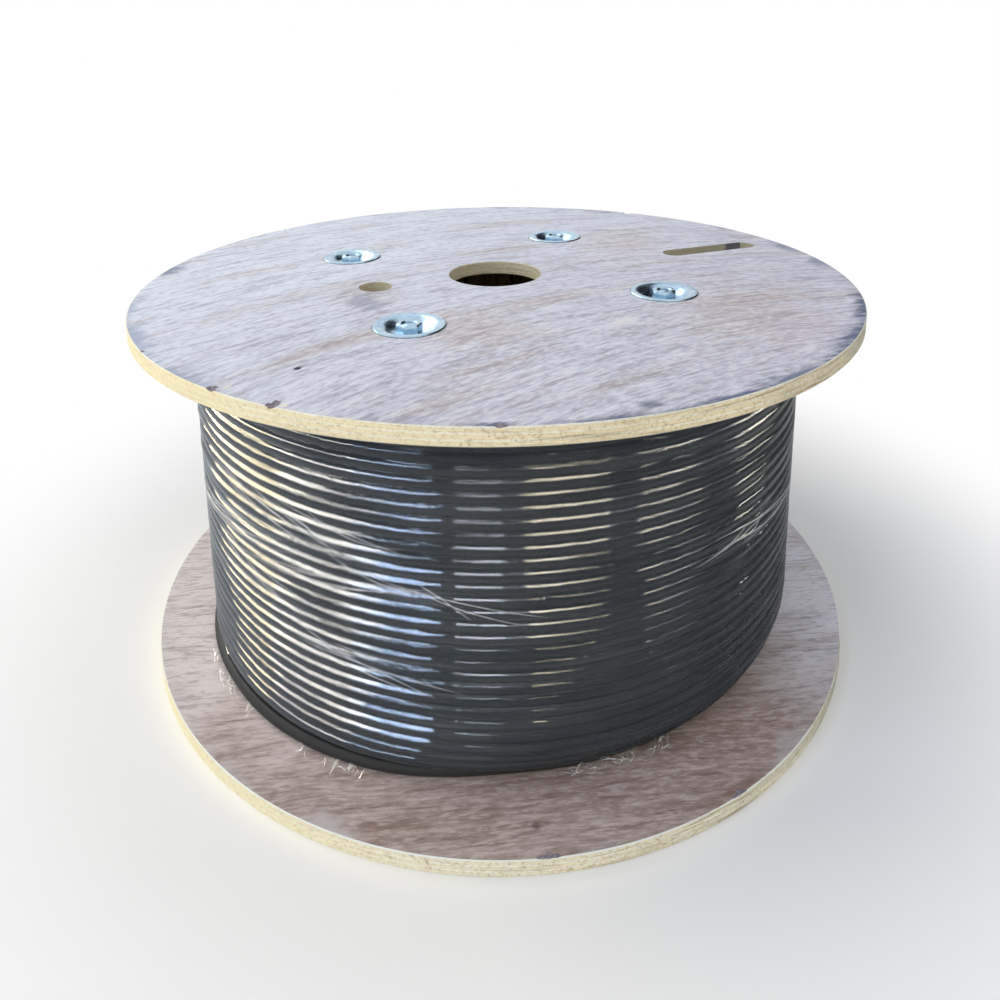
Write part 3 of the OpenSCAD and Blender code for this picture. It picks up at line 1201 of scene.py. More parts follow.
@dataclass
class WoundCable:
    """The wound cable: its outer layer turn by turn, the turns on both ends and a core of lower layers."""

    node: str = "cable_winding"
    turns: int = 30
    crossover: float = 0.12
    points_per_turn: int = 200
    sides: int = 10
    wander: float = 0.7 * MM
    loose_out: float = 4.0 * MM
    step_in: float = 17.0 * MM
    stepped_turns: float = 4.0
    end_points: int = 96
    end_sides: int = 8
    bare_top: float = 23.0 * MM
    first_tuck: float = 0.05
    last_tuck: Pair = (0.2, 0.13)
    sway_scale: Triple = (9.0, 9.0, 31.0)
    bob_shift: Triple = (7.0, 3.0, 5.0)
    step_rise: Pair = (-155.0, -100.0)
    step_fall: Pair = (66.0, 35.0)
    loose_side: float = radians(-150.0)
    loose_reach: Pair = (0.19, 0.24)
    core_back: float = 1.6
    core_gap: float = 1.0 * MM
    core_step: float = 4.6
    core_columns: int = 180

    def build(self) -> Piece:
        """Return the dressed winding, lighter grey and duller where no film covers its lowest turns."""
        low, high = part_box(self.node)
        self.low, self.high = low.z, high.z
        self.finish = CableSheath().make()
        outer = self.outer_layer()
        upper_end = self.end_layer("upper_end_turns", self.high - SIZES.cable_radius)
        lower_end = self.end_layer("lower_end_turns", self.low + SIZES.cable_radius)
        places = np.zeros(len(outer.data.vertices) * 3)
        outer.data.vertices.foreach_get("co", places)
        self.path = places.reshape(-1, self.sides, 3).mean(axis=1)
        piece = join_pieces("wound_cable", [outer, upper_end, lower_end, self.core()])
        self.piece = piece
        bare = CableSheath("bare_sheath", "363736", "434443", 0.44, 0.56, 1.3)
        piece.data.materials.append(bare.make())
        for face in piece.data.polygons:
            if face.center.z < self.bare_top:
                face.material_index = len(piece.data.materials) - 1
        smooth(piece, 60.0)
        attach(piece, BODY)
        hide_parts(self.node)
        return piece

    def outer_layer(self) -> Piece:
        """Return the outer layer, each turn level but for a crossover at the back."""
        recipe = GeometryRecipe("outer_layer")
        rail = recipe.input("Rail radius", SIZES.winding_radius - SIZES.cable_radius - self.wander)
        turns = recipe.input("Turns", self.turns - self.crossover)
        per_turn = recipe.input("Points per turn", self.points_per_turn)
        pitch = (self.high - self.low - SIZES.cable_diameter) / (self.turns - 1)
        rise = recipe.input("Pitch", pitch)
        first = recipe.input("First height", self.low + SIZES.cable_radius)
        wander = recipe.input("Wander", self.wander)
        step_in = recipe.input("Step in", self.step_in)
        loose_out = recipe.input("Loose out", self.loose_out)
        size = recipe.input("Cable radius", SIZES.cable_radius)
        sides = recipe.input("Sides", self.sides)
        material = recipe.input("Material", self.finish)
        inputs = {"Resolution": per_turn, "Rotations": turns, "Start Radius": rail, "End Radius": rail}
        spiral = recipe.out("GeometryNodeCurveSpiral", {**inputs, "Height": 0.0})
        turned = recipe.out("GeometryNodeTransform", {0: spiral, "Rotation": (0.0, 0.0, BACK_SIDE)})
        count = recipe.times(recipe.add("GeometryNodeSplineParameter").outputs["Factor"], turns)
        x, y, _ = recipe.parts(recipe.out("GeometryNodeInputPosition"))
        whole = recipe.math("FLOOR", count)
        part = recipe.fade(recipe.minus(count, whole), 1.0 - self.crossover, 1.0)
        lift = recipe.times(recipe.plus(whole, part), rise, first)
        inset = recipe.times(self.step_share(recipe, x, y, count), step_in)
        first_tuck = recipe.fade(count, self.first_tuck, 0.0)
        last_tuck = recipe.fade(count, *[self.turns - share for share in self.last_tuck])
        inset = recipe.times(recipe.plus(first_tuck, last_tuck), SIZES.cable_diameter, inset)
        sway_place = recipe.vector("MULTIPLY", recipe.join(x, y, lift), self.sway_scale)
        sway = recipe.minus(recipe.noise(sway_place, 1.0, 2.0), 0.5)
        bob = recipe.minus(recipe.noise(recipe.vector("ADD", sway_place, self.bob_shift), 1.0, 1.0), 0.5)
        out = recipe.times(sway, recipe.times(wander, 2.0))
        loose = recipe.times(recipe.fade(count, 1.0, 0.9), self.loose_share(recipe, x, y))
        out = recipe.times(loose, loose_out, out)
        grow = recipe.plus(1.0, recipe.math("DIVIDE", recipe.minus(out, inset), rail))
        height = recipe.math("MAXIMUM", recipe.times(bob, recipe.times(wander, 1.6), lift), first)
        place = recipe.join(recipe.times(x, grow), recipe.times(y, grow), height)
        laid = recipe.out("GeometryNodeSetPosition", {0: turned, "Position": place})
        recipe.close(self.sheathed(recipe, laid, size, sides), material)
        return recipe.run("outer_turns")

    def step_share(self, recipe: GeometryRecipe, x: Socket, y: Socket, count: Socket) -> Socket:
        """Return how far a turn near the lower flange has slipped in, from 0 to 1.

        Args:
            recipe: The tree.
            x: The point's X.
            y: The point's Y.
            count: How many turns lie between the winding's start and the point.

        Returns:
            A share that is 0 at the left of the photograph and on the higher turns.
        """
        angle = recipe.math("ARCTAN2", y, x)
        rise = recipe.fade(angle, *[radians(degrees) for degrees in self.step_rise])
        fall = recipe.fade(angle, *[radians(degrees) for degrees in self.step_fall])
        left = recipe.minus(1.0, recipe.math("DIVIDE", count, self.stepped_turns))
        left = recipe.math("MAXIMUM", left, 0.0)
        return recipe.times(recipe.times(rise, fall), recipe.times(left, left))

    def loose_share(self, recipe: GeometryRecipe, x: Socket, y: Socket) -> Socket:
        """Return how far the lowest turn stands off at the left of the photograph, from 0 to 1."""
        way = polar(1.0, self.loose_side)
        return recipe.fade(recipe.times(x, way.x, recipe.times(y, way.y)), *self.loose_reach)

    def sheathed(self, recipe: GeometryRecipe, line: Socket, size: Socket, sides: Socket) -> Socket:
        """Make the tube along a line, with the attributes along and around stored on it.

        Args:
            recipe: The tree.
            line: The line.
            size: The tube's radius.
            sides: How many sides the tube has.

        Returns:
            The tube.
        """
        upright = recipe.out("GeometryNodeSetCurveNormal", {0: line}, mode="Z_UP")
        length = recipe.add("GeometryNodeSplineParameter").outputs["Length"]
        rail = recipe.out("GeometryNodeStoreNamedAttribute", {0: upright, "Name": "along", "Value": length})
        ring = recipe.out("GeometryNodeCurvePrimitiveCircle", {"Resolution": sides, "Radius": size})
        share = recipe.add("GeometryNodeSplineParameter").outputs["Factor"]
        profile = recipe.out("GeometryNodeStoreNamedAttribute", {0: ring, "Name": "around", "Value": share})
        return recipe.out("GeometryNodeCurveToMesh", {0: rail, 1: profile, "Fill Caps": True})

    def end_layer(self, name: str, height: float) -> Piece:
        """Return the flat spiral of turns that shows on one end.

        Args:
            name: The piece's name.
            height: The height of the turns' middle.

        Returns:
            The spiral as a mesh.
        """
        radius = SIZES.cable_radius
        start = SIZES.bore_radius + radius
        stop = SIZES.winding_radius - self.step_in - radius
        recipe = GeometryRecipe(name)
        inputs = {
            "Resolution": recipe.input("Points per turn", self.end_points),
            "Rotations": recipe.input("Turns", (stop - start) / SIZES.layer_pitch),
            "Start Radius": recipe.input("Start radius", start),
            "End Radius": recipe.input("End radius", stop),
            "Height": 0.0,
        }
        size = recipe.input("Cable radius", radius)
        sides = recipe.input("Sides", self.end_sides)
        lift = recipe.join(0.0, 0.0, recipe.input("Height", height))
        material = recipe.input("Material", self.finish)
        spiral = recipe.out("GeometryNodeCurveSpiral", inputs)
        raised = recipe.out("GeometryNodeTransform", {0: spiral, "Translation": lift})
        recipe.close(self.sheathed(recipe, raised, size, sides), material)
        return recipe.run(name)

    def core(self) -> Piece:
        """Return the dark core of the lower layers, set back behind the turns that show."""
        top, base = self.high - SIZES.cable_radius, self.low + SIZES.cable_radius
        back = SIZES.winding_radius - self.core_back * SIZES.cable_radius
        foot = back - self.step_in - self.core_gap
        step = self.low + self.core_step * SIZES.cable_diameter
        outline = [
            (SIZES.bore_radius, top),
            (back, top),
            (back, step),
            (foot, step - 2.0 * SIZES.cable_diameter),
            (foot, base),
            (SIZES.bore_radius, base),
        ]
        piece = new_piece("lower_layers", lathe("lower_layers", outline, self.core_columns))
        coat(piece, self.finish)
        return piece


@dataclass(frozen=True)
class FilmCrease:
    """A crease in the film between two places, each an angle in degrees and a height in metres."""

    start: Pair
    end: Pair
    width: float
    height: float
    bloom: float


@dataclass(frozen=True)
class FilmFan:
    """A fan of fine folds between two places, each an angle in degrees and a height in metres."""

    start: Pair
    end: Pair
    count: int = 3
    spread: Pair = (1.5, 0.003)


@dataclass(frozen=True)
class FilmTatter:
    """A crumpled scrap of film on the lower flange, by its angle in degrees and its radius."""

    angle: float
    radius: float
    length: float
    width: float
    rise: float
    lift: float = 0.3 * MM
    swing: float = pi


@dataclass
class FilmSleeve:
    """The stretch film, drawn over the turns of the winding, with creases and a ragged lower edge."""

    winding: WoundCable
    node: str = "film_wrap"
    strips: int = 12
    lift: float = 0.15 * MM
    hug: float = 62.0
    taut_hug: float = 55.0
    valley: float = 0.45
    taut_valley: float = 0.62
    taut_side: float = radians(-50.0)
    tight_scale: float = 14.0
    tight_step: float = 7.3
    lower_edge: float = 23.5 * MM
    front_drop: float = 6.0 * MM
    ragged: float = 2.5 * MM
    thread_seed: int = 31
    strands: int = 7
    strand_steps: int = 12
    thread_radius: float = 0.18 * MM
    thread_sides: int = 5
    thread_steps: int = 46
    thread_lift: float = 0.45 * MM
    thread_bow: float = 3.0 * MM
    fans: tuple[FilmFan, ...] = (
        FilmFan((-161.6, 0.1984), (-133.4, 0.1748)),
        FilmFan((-157.8, 0.1952), (-138.4, 0.1760), 2),
        FilmFan((-144.8, 0.1970), (-132.9, 0.1754), 2, (1, 0.002)),
        FilmFan((-140.5, 0.1991), (-125.1, 0.1823), 2, (1.2, 0.002)),
        FilmFan((-176, 0.1500), (-141, 0.1652), 6, (2, 0.004)),
        FilmFan((-159.2, 0.1445), (-122.9, 0.1588), 4, (2, 0.003)),
        FilmFan((-137, 0.1706), (-123.7, 0.1582), 2),
        FilmFan((-123.7, 0.1601), (-107.2, 0.1378)),
        FilmFan((-160.3, 0.1407), (-140.6, 0.1186), 3, (1.5, 0.004)),
        FilmFan((-144.4, 0.1100), (-131.4, 0.0999)),
        FilmFan((-140.8, 0.0971), (-121, 0.0838), 3, (2, 0.003)),
        FilmFan((-74.4, 0.1529), (-60.5, 0.1599)),
        FilmFan((-72.4, 0.1629), (-47, 0.1531)),
        FilmFan((120, 0.2100), (160, 0.1500), 4, (4, 0.008)),
        FilmFan((10, 0.1500), (45, 0.2000), 4, (4, 0.008)),
    )
    scraps: tuple[FilmTatter, ...] = (
        FilmTatter(-170.5, 0.2605, 12 * MM, 3 * MM, 4 * MM),
        FilmTatter(-165.5, 0.2625, 16 * MM, 5 * MM, 5 * MM),
        FilmTatter(-160.5, 0.2620, 18 * MM, 6 * MM, 5 * MM),
        FilmTatter(-155.5, 0.2610, 14 * MM, 4 * MM, 3 * MM),
        FilmTatter(-142.5, 0.2595, 12 * MM, 4 * MM, 3 * MM),
        FilmTatter(-137, 0.2575, 16 * MM, 4 * MM, 3 * MM),
        FilmTatter(-133, 0.2555, 12 * MM, 3 * MM, 3 * MM),
        FilmTatter(-97, 0.2440, 24 * MM, 1.2 * MM, 3.5 * MM, 1.5 * MM, 0.3),
        FilmTatter(-90.5, 0.2440, 26 * MM, 1.2 * MM, 4 * MM, 1.5 * MM, 0.3),
        FilmTatter(-84.5, 0.2440, 24 * MM, 1.2 * MM, 3.5 * MM, 1.5 * MM, 0.3),
        FilmTatter(35, 0.2590, 16 * MM, 5 * MM, 5 * MM),
        FilmTatter(110, 0.2590, 18 * MM, 5 * MM, 5 * MM),
    )
    creases: tuple[FilmCrease, ...] = (
        FilmCrease((-179, 0.150), (-138, 0.166), 8 * MM, 0.8 * MM, 0.6),
        FilmCrease((-179, 0.190), (-158, 0.172), 7 * MM, 1.4 * MM, 0.5),
        FilmCrease((-179, 0.215), (-164, 0.190), 5 * MM, 1.2 * MM, 0.35),
        FilmCrease((-140, 0.166), (-116, 0.150), 5 * MM, 0.2 * MM, 0.25),
        FilmCrease((-150, 0.095), (-105, 0.078), 14 * MM, 0, 0.12),
        FilmCrease((-178, 0.120), (-140, 0.112), 5 * MM, 0.4 * MM, 0.3),
        FilmCrease((-58, 0.170), (-72, 0.132), 3 * MM, 0.6 * MM, 0.5),
        FilmCrease((-50, 0.150), (-66, 0.138), 3 * MM, 0.5 * MM, 0.4),
        FilmCrease((40, 0.205), (96, 0.150), 4 * MM, 0.6 * MM, 0.5),
        FilmCrease((95, 0.120), (150, 0.090), 4 * MM, 0.5 * MM, 0.45),
    )

    def build(self) -> Piece:
        """Return the dressed film."""
        drawn, faces = self.drawn()
        points, tight = drawn[:, :3], drawn[:, 3]
        bloom = np.zeros(len(points))
        for crease in self.creases:
            self.fold(crease, points, bloom)
        mesh = plain_mesh("film_sleeve", points.tolist(), faces.tolist())
        piece = new_piece("film_sleeve", mesh)
        for name, values in (("bloom", np.clip(bloom, 0.0, 1.0)), ("tight", tight)):
            stored = mesh.attributes.new(name, "FLOAT", "POINT")
            stored.data.foreach_set("value", np.ascontiguousarray(values))
        coat(piece, StretchFilm().make())
        smooth(piece, 80.0)
        loose = [self.threads(), self.tatters()]
        for part in (piece, *loose):
            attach(part, BODY)
        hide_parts(self.node)
        self.pieces = [piece, *loose]
        return piece

    def edge_height(self, angles: np.ndarray) -> np.ndarray:
        """Return the height of the film's ragged lower edge at each angle."""
        front = np.clip(np.cos(angles - CAMERA_SIDE - radians(28.0)), 0.0, 1.0) ** 3
        wave = np.sin(5.0 * angles + 1.0) + 0.6 * np.sin(13.0 * angles) + 0.5 * np.sin(31.0 * angles + 2.0)
        return self.lower_edge - self.front_drop * front + self.ragged * 0.5 * wave

    def drawn(self) -> tuple[np.ndarray, np.ndarray]:
        """Draw the film over the turns.

        Returns:
            The film's points, each with how tight it is, and its faces, without those below the ragged edge.
        """
        line = self.winding.path
        per_turn = self.winding.points_per_turn
        count = len(line)
        radius = np.hypot(line[:, 0], line[:, 1])
        number = np.arange(count)
        beside = {}
        for way in (-1, 1):
            wanted = number + way * per_turn
            near = np.clip(wanted, 0, count - 1)
            missing = near != wanted
            near_height = np.where(missing, line[:, 2] + way * SIZES.cable_diameter, line[near, 2])
            beside[way] = (np.where(missing, radius, radius[near]), near_height)
        tight = self.tightness(line)
        taut = np.clip((np.cos(np.arctan2(line[:, 1], line[:, 0]) - self.taut_side) - 0.2) / 0.6, 0.0, 1.0)
        hug = np.radians(self.hug + (self.taut_hug - self.hug) * taut)
        valley = self.valley + (self.taut_valley - self.valley) * taut
        rows = []
        for share in np.linspace(-1.0, 1.0, self.strips + 1):
            if abs(share) > 0.99:
                other_radius, other_height = beside[1 if share > 0.0 else -1]
                reach = 0.5 * (radius + other_radius) + valley * SIZES.cable_radius
                height = 0.5 * (line[:, 2] + other_height)
            else:
                reach = radius + (SIZES.cable_radius + self.lift) * np.cos(hug * share)
                height = line[:, 2] + (SIZES.cable_radius + self.lift) * np.sin(hug * share)
            rows.append(np.column_stack([line[:, :2] / radius[:, None] * reach[:, None], height, tight]))
        grid = np.stack(rows, axis=1)
        points = np.concatenate([grid[:, :-1].reshape(-1, 4), grid[:, -1]])
        after = number + per_turn
        seam = np.where(after < count, after * self.strips, count * self.strips + number)
        faces = []
        for row in range(self.strips):
            first = number[:-1] * self.strips + row
            second = first + self.strips
            if row < self.strips - 1:
                faces.append(np.column_stack([first, first + 1, second + 1, second]))
            else:
                faces.append(np.column_stack([first, seam[:-1], seam[1:], second]))
        return self.trimmed(points, np.concatenate(faces))

    def tightness(self, line: np.ndarray) -> np.ndarray:
        """Return how tightly the film lies at each point of the cable.

        Args:
            line: The cable's points.

        Returns:
            A share from 0 to 1 for each point, which wanders for each turn by itself.
        """
        result = np.zeros(len(line))
        for number, (x, y, _) in enumerate(line):
            turn = number // self.winding.points_per_turn
            spot = Vector((x * self.tight_scale, y * self.tight_scale, self.tight_step * turn))
            result[number] = 0.5 + 0.5 * noise.noise(spot)
        return result

    def trimmed(self, points: np.ndarray, faces: np.ndarray) -> tuple[np.ndarray, np.ndarray]:
        """Cut away what lies below the ragged edge or above the upper flange's face.

        Args:
            points: The film's points.
            faces: The numbers of each face's points.

        Returns:
            The points and faces that are left.
        """
        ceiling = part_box(self.node)[1].z
        centre = points[faces].mean(axis=1)
        angle = np.arctan2(centre[:, 1], centre[:, 0])
        highest = points[faces][:, :, 2].max(axis=1)
        kept = faces[(centre[:, 2] > self.edge_height(angle)) & (highest < ceiling)]
        used, renumbered = np.unique(kept, return_inverse=True)
        return points[used], renumbered.reshape(kept.shape)

    def fold(self, crease: FilmCrease, points: np.ndarray, bloom: np.ndarray) -> None:
        """Raise one crease.

        Args:
            crease: The crease.
            points: The film's points, which are changed.
            bloom: The film's bloom, which is changed.
        """
        angle = np.arctan2(points[:, 1], points[:, 0])
        flat = np.column_stack([angle * SIZES.winding_radius, points[:, 2]])
        start = np.array([radians(crease.start[0]) * SIZES.winding_radius, crease.start[1]])
        end = np.array([radians(crease.end[0]) * SIZES.winding_radius, crease.end[1]])
        along = end - start
        offset = flat - start
        share = np.clip((offset @ along) / (along @ along), 0.0, 1.0)
        gap = np.linalg.norm(offset - share[:, None] * along, axis=-1)
        ends = np.sin(np.clip(share, 0.02, 0.98) * pi) ** 0.4
        rise = crease.height * np.exp(-((gap / crease.width) ** 2)) * ends
        points[:, :2] *= (1.0 + rise / np.hypot(points[:, 0], points[:, 1]))[:, None]
        bloom += crease.bloom * np.exp(-((gap / (2.2 * crease.width)) ** 2)) * ends

    def thread_lines(self) -> list[list[Vector]]:
        """Return the lines of the fine folds that cross the turns, in fans of a few each."""
        random = np.random.default_rng(self.thread_seed)
        finder = KDTree(len(self.winding.path))
        for number, spot in enumerate(self.winding.path):
            finder.insert(Vector(spot), number)
        finder.balance()
        lines = []
        for fan in self.fans:
            for _ in range(fan.count):
                start = np.array(fan.start) + random.normal(size=2) * np.array(fan.spread) * (2.5, 1.0)
                end = np.array(fan.end) + random.normal(size=2) * np.array(fan.spread) * (2.5, 1.0)
                bow = random.normal() * self.thread_bow
                line = []
                for share in np.linspace(0.0, 1.0, self.thread_steps):
                    degrees, height = start + share * (end - start)
                    height += bow * sin(pi * share)
                    near = finder.find(polar(SIZES.winding_radius, radians(degrees), height))[0]
                    reach = hypot(near.x, near.y) + SIZES.cable_radius + self.thread_lift
                    line.append(polar(reach, radians(degrees), height))
                lines.append(line)
        return lines

    def threads(self) -> Piece:
        """Return the fine gathered folds of the film as one mesh."""
        points, edges = [], []
        for line in self.thread_lines():
            first = len(points)
            points += [tuple(spot) for spot in line]
            edges += [(first + i, first + i + 1) for i in range(len(line) - 1)]
        source = new_piece("thread_guide", plain_mesh("thread_guide", points, [], edges))
        recipe = GeometryRecipe("film_threads")
        lines = recipe.input("Lines", source)
        size = recipe.input("Thread radius", self.thread_radius)
        sides = recipe.input("Sides", self.thread_sides)
        material = recipe.input("Material", GatheredFilm("film_fold", "f4f7fa", 0.5, 0.85).make())
        body = recipe.add("GeometryNodeObjectInfo", {"Object": lines}).outputs["Geometry"]
        curve = recipe.out("GeometryNodeMeshToCurve", {0: body})
        ring = recipe.out("GeometryNodeCurvePrimitiveCircle", {"Resolution": sides, "Radius": size})
        way = recipe.add("GeometryNodeSplineParameter").outputs["Factor"]
        taper = recipe.math("POWER", recipe.math("SINE", recipe.times(way, pi)), 0.7)
        taper = recipe.math("MAXIMUM", taper, 0.1)
        inputs = {0: curve, 1: ring, "Scale": taper, "Fill Caps": True}
        recipe.close(recipe.out("GeometryNodeCurveToMesh", inputs), material)
        result = recipe.run("film_threads")
        bpy.data.objects.remove(source)
        smooth(result, 80.0)
        return result

    def strand(self, root: Vector, tatter: FilmTatter, random: np.random.Generator) -> Piece:
        """Return one torn strand of film.

        Args:
            root: Where its middle lies.
            tatter: The scrap that it belongs to.
            random: The source of its turn, length and curl.

        Returns:
            A narrow curled strip.
        """
        along = atan2(root.y, root.x) + pi / 2.0
        heading = along + random.uniform(-tatter.swing, tatter.swing)
        length = random.uniform(0.5, 1.0) * tatter.length
        width = random.uniform(0.35, 0.8) * MM
        phase = random.uniform(0.0, FULL_TURN, size=3)
        forward = polar(1.0, heading)
        sideways = Vector((-forward.y, forward.x, 0.0))
        grid = np.zeros((self.strand_steps, 3, 3))
        for row, share in enumerate(np.linspace(-0.5, 0.5, self.strand_steps)):
            swing = 0.22 * length * sin(5.0 * share + phase[0])
            rise = tatter.rise * (0.5 + 0.5 * sin(6.5 * share + phase[1]))
            narrow = width * (1.0 - (2.0 * share) ** 2 * 0.8)
            for column, edge in enumerate((-0.5, 0.0, 0.5)):
                curl = 0.5 * narrow * cos(9.0 * share + phase[2]) * (abs(edge) + edge)
                lift = Vector((0.0, 0.0, rise + abs(curl)))
                across = sideways * (swing + edge * narrow)
                grid[row, column] = root + forward * share * length + across + lift
        return new_piece("strand", grid_mesh("strand", grid, False))

    def tatters(self) -> Piece:
        """Return the crumpled scraps of film that stick out over the lower flange."""
        random = np.random.default_rng(self.thread_seed + 1)
        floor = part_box("lower_flange")[1].z
        scraps = []
        for tatter in self.scraps:
            for _ in range(self.strands):
                along, across = random.uniform(-0.5, 0.5, size=2)
                angle = radians(tatter.angle) + tatter.length * along / tatter.radius
                root = polar(tatter.radius + tatter.width * across, angle, floor + tatter.lift)
                scraps.append(self.strand(root, tatter, random))
        result = join_pieces("film_tatters", scraps)
        coat(result, GatheredFilm("film_scrap", "f6f4f0", 0.3, 0.75).make())
        smooth(result, 50.0)
        return result


@dataclass
class TieHardware:
    """Pressed washers, nuts and bolts that tie the flanges together."""

    seat_turn_seed: int = 7
    columns: int = 96
    bolt_columns: int = 48
    dish_play: float = 0.6 * MM
    dish_round: float = 4.6 * MM
    dish_steps: int = 9
    nut_crown: float = 0.96
    head_crown: float = 0.94
    head_height: float = 6.4 * MM
    tip_radius: float = 0.02 * MM
    thread_turns: int = 14
    thread_pitch: float = 1.5 * MM

    def build(self) -> list[Piece]:
        """Return the dressed hardware of both flanges."""
        upper_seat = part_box("upper_washer_1")[1].z - SIZES.washer_thickness
        lower_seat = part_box("lower_washer_1")[0].z + SIZES.washer_thickness
        bolt_low, bolt_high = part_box("tie_bolt_1")
        sources = {
            "upper_washer": self.washer(upper_seat, 1.0),
            "lower_washer": self.washer(lower_seat, -1.0),
            "tie_nut": self.nut(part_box("tie_nut_1")[0].z),
            "tie_bolt": self.bolt(bolt_low.z, bolt_high.z),
        }
        finish = ZincPlate().make()
        made = []
        for node, source in sources.items():
            piece = self.round_bolts(node + "s", source, finish)
            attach(piece, BODY)
            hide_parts(*[f"{node}_{i + 1}" for i in range(SIZES.bolt_count)])
            made.append(piece)
        return made

    def round_bolts(self, name: str, source: Piece, finish: Material) -> Piece:
        """Repeat one piece on the bolt circle, each turned by its own amount.

        Args:
            name: The name of the joined result.
            source: The piece, on the Z axis, which is removed.
            finish: Its material.

        Returns:
            The four pieces as one mesh.
        """
        recipe = GeometryRecipe(name)
        piece = recipe.input("Piece", source)
        count = recipe.input("Count", SIZES.bolt_count)
        radius = recipe.input("Circle radius", SIZES.bolt_circle)
        first = recipe.input("First angle", SIZES.first_bolt)
        seed = recipe.input("Seed", self.seat_turn_seed)
        material = recipe.input("Material", finish)
        ring = recipe.out("GeometryNodeMeshCircle", {"Vertices": count, "Radius": radius})
        turned = recipe.out("GeometryNodeTransform", {0: ring, "Rotation": recipe.join(0.0, 0.0, first)})
        body = recipe.add("GeometryNodeObjectInfo", {"Object": piece}).outputs["Geometry"]
        turn = recipe.add("FunctionNodeRandomValue", {2: 0.0, 3: FULL_TURN, "Seed": seed}).outputs[1]
        inputs = {"Points": turned, "Instance": body, "Rotation": recipe.join(0.0, 0.0, turn)}
        recipe.close(recipe.out("GeometryNodeInstanceOnPoints", inputs), material)
        result = recipe.run(name)
        bpy.data.objects.remove(source)
        smooth(result, 38.0)
        return result

    def hexagon(self, columns: int) -> np.ndarray:
        """Return the radius of a nut or bolt head at each of that many columns."""
        angles = np.arange(columns) * FULL_TURN / columns
        sector = (angles + pi / 6.0) % (pi / 3.0) - pi / 6.0
        return SIZES.nut_flats / 2.0 / np.cos(sector)

    def washer(self, seat: float, up: float) -> Piece:
        """Return one pressed washer.

        Args:
            seat: The height of its rim's seat on the wood.
            up: 1 for the upper flange and -1 for the lower.

        Returns:
            The washer, turned on the Z axis.
        """
        half = SIZES.washer_thickness / 2.0
        floor = SIZES.washer_thickness - SIZES.dish_depth - half
        line = [
            (SIZES.bolt_radius + self.dish_play + half, floor),
            (SIZES.dish_floor_radius + self.dish_play, floor),
            (SIZES.dish_radius + self.dish_play, half),
            (SIZES.washer_radius - half, half),
        ]
        outline = thick_line(rounded_line(line, self.dish_round, self.dish_steps), half)
        placed = [(radius, seat + up * height) for radius, height in outline]
        if up > 0.0:
            placed.reverse()
        return new_piece("washer", lathe("washer", placed, self.columns))

    def nut(self, seat: float) -> Piece:
        """Return one hexagon nut with chamfered corners.

        Args:
            seat: The height that it stands on.

        Returns:
            The nut, on the Z axis.
        """
        hexagon = self.hexagon(self.columns)
        bore = SIZES.bolt_radius + 0.1 * MM
        round_top = SIZES.nut_flats / 2.0 * self.nut_crown
        drop = (hexagon - round_top) * tan(radians(30.0))
        top = seat + SIZES.nut_height
        rows = [
            (bore, top - 0.9 * MM),
            (bore + 0.8 * MM, top),
            (round_top, top),
            (hexagon - 0.15 * MM, top - drop),
            (hexagon, top - drop - 0.2 * MM),
            (hexagon, seat + drop + 0.2 * MM),
            (hexagon - 0.15 * MM, seat + drop),
            (round_top, seat),
            (bore, seat),
        ]
        return new_piece("nut", lathe("nut", rows, self.columns))

    def bolt(self, low: float, high: float) -> Piece:
        """Return one bolt with its hexagon head below and a threaded end above.

        Args:
            low: The height of the head's foot.
            high: The height of the threaded end.

        Returns:
            The bolt, on the Z axis.
        """
        hexagon = self.hexagon(self.bolt_columns)
        head_top = low + self.head_height
        crest = SIZES.bolt_radius - 0.05 * MM
        valley = SIZES.bolt_radius - 0.8 * MM
        rows = [(self.tip_radius, high), (SIZES.bolt_radius - 1.0 * MM, high)]
        height = high - 0.6 * MM
        for _ in range(self.thread_turns):
            rows += [(crest, height), (valley, height - 0.5 * self.thread_pitch)]
            height -= self.thread_pitch
        rows += [(crest, height), (crest, head_top), (hexagon - 0.2 * MM, head_top)]
        rows += [(hexagon, head_top - 0.3 * MM), (hexagon, low + 0.9 * MM)]
        rows += [(SIZES.nut_flats / 2.0 * self.head_crown, low), (self.tip_radius, low)]
        return new_piece("bolt", lathe("bolt", rows, self.bolt_columns))


def rounded_line(points: Sequence[Pair], radius: float, steps: int) -> list[Pair]:
    """Round the inner corners of an open line.

    Args:
        points: The line's corners.
        radius: How far from a corner its curve starts.
        steps: How many points each curve has.

    Returns:
        The rounded line.
    """
    result = [points[0]]
    for before, corner, after in zip(points, points[1:], points[2:]):
        knee = Vector(corner)
        start = knee + (Vector(before) - knee).normalized() * radius
        end = knee + (Vector(after) - knee).normalized() * radius
        for step in range(steps + 1):
            share = step / steps
            spot = start.lerp(knee, share).lerp(knee.lerp(end, share), share)
            result.append((spot.x, spot.y))
    return result + [points[-1]]


def thick_line(points: Sequence[Pair], half: float) -> list[Pair]:
    """Give an open line a thickness.

    Args:
        points: The line's points.
        half: Half the thickness.

    Returns:
        The closed outline, with rounded ends.
    """
    spots = [Vector(point) for point in points]
    left, right = [], []
    for number, spot in enumerate(spots):
        ahead = spots[min(number + 1, len(spots) - 1)] - spots[max(number - 1, 0)]
        side = Vector((-ahead.y, ahead.x)).normalized() * half
        left.append(spot + side)
        right.append(spot - side)
    first = spots[0] + (spots[0] - spots[1]).normalized() * half * 0.7
    last = spots[-1] + (spots[-1] - spots[-2]).normalized() * half * 0.7
    return [(spot.x, spot.y) for spot in (*left, last, *reversed(right), first)]


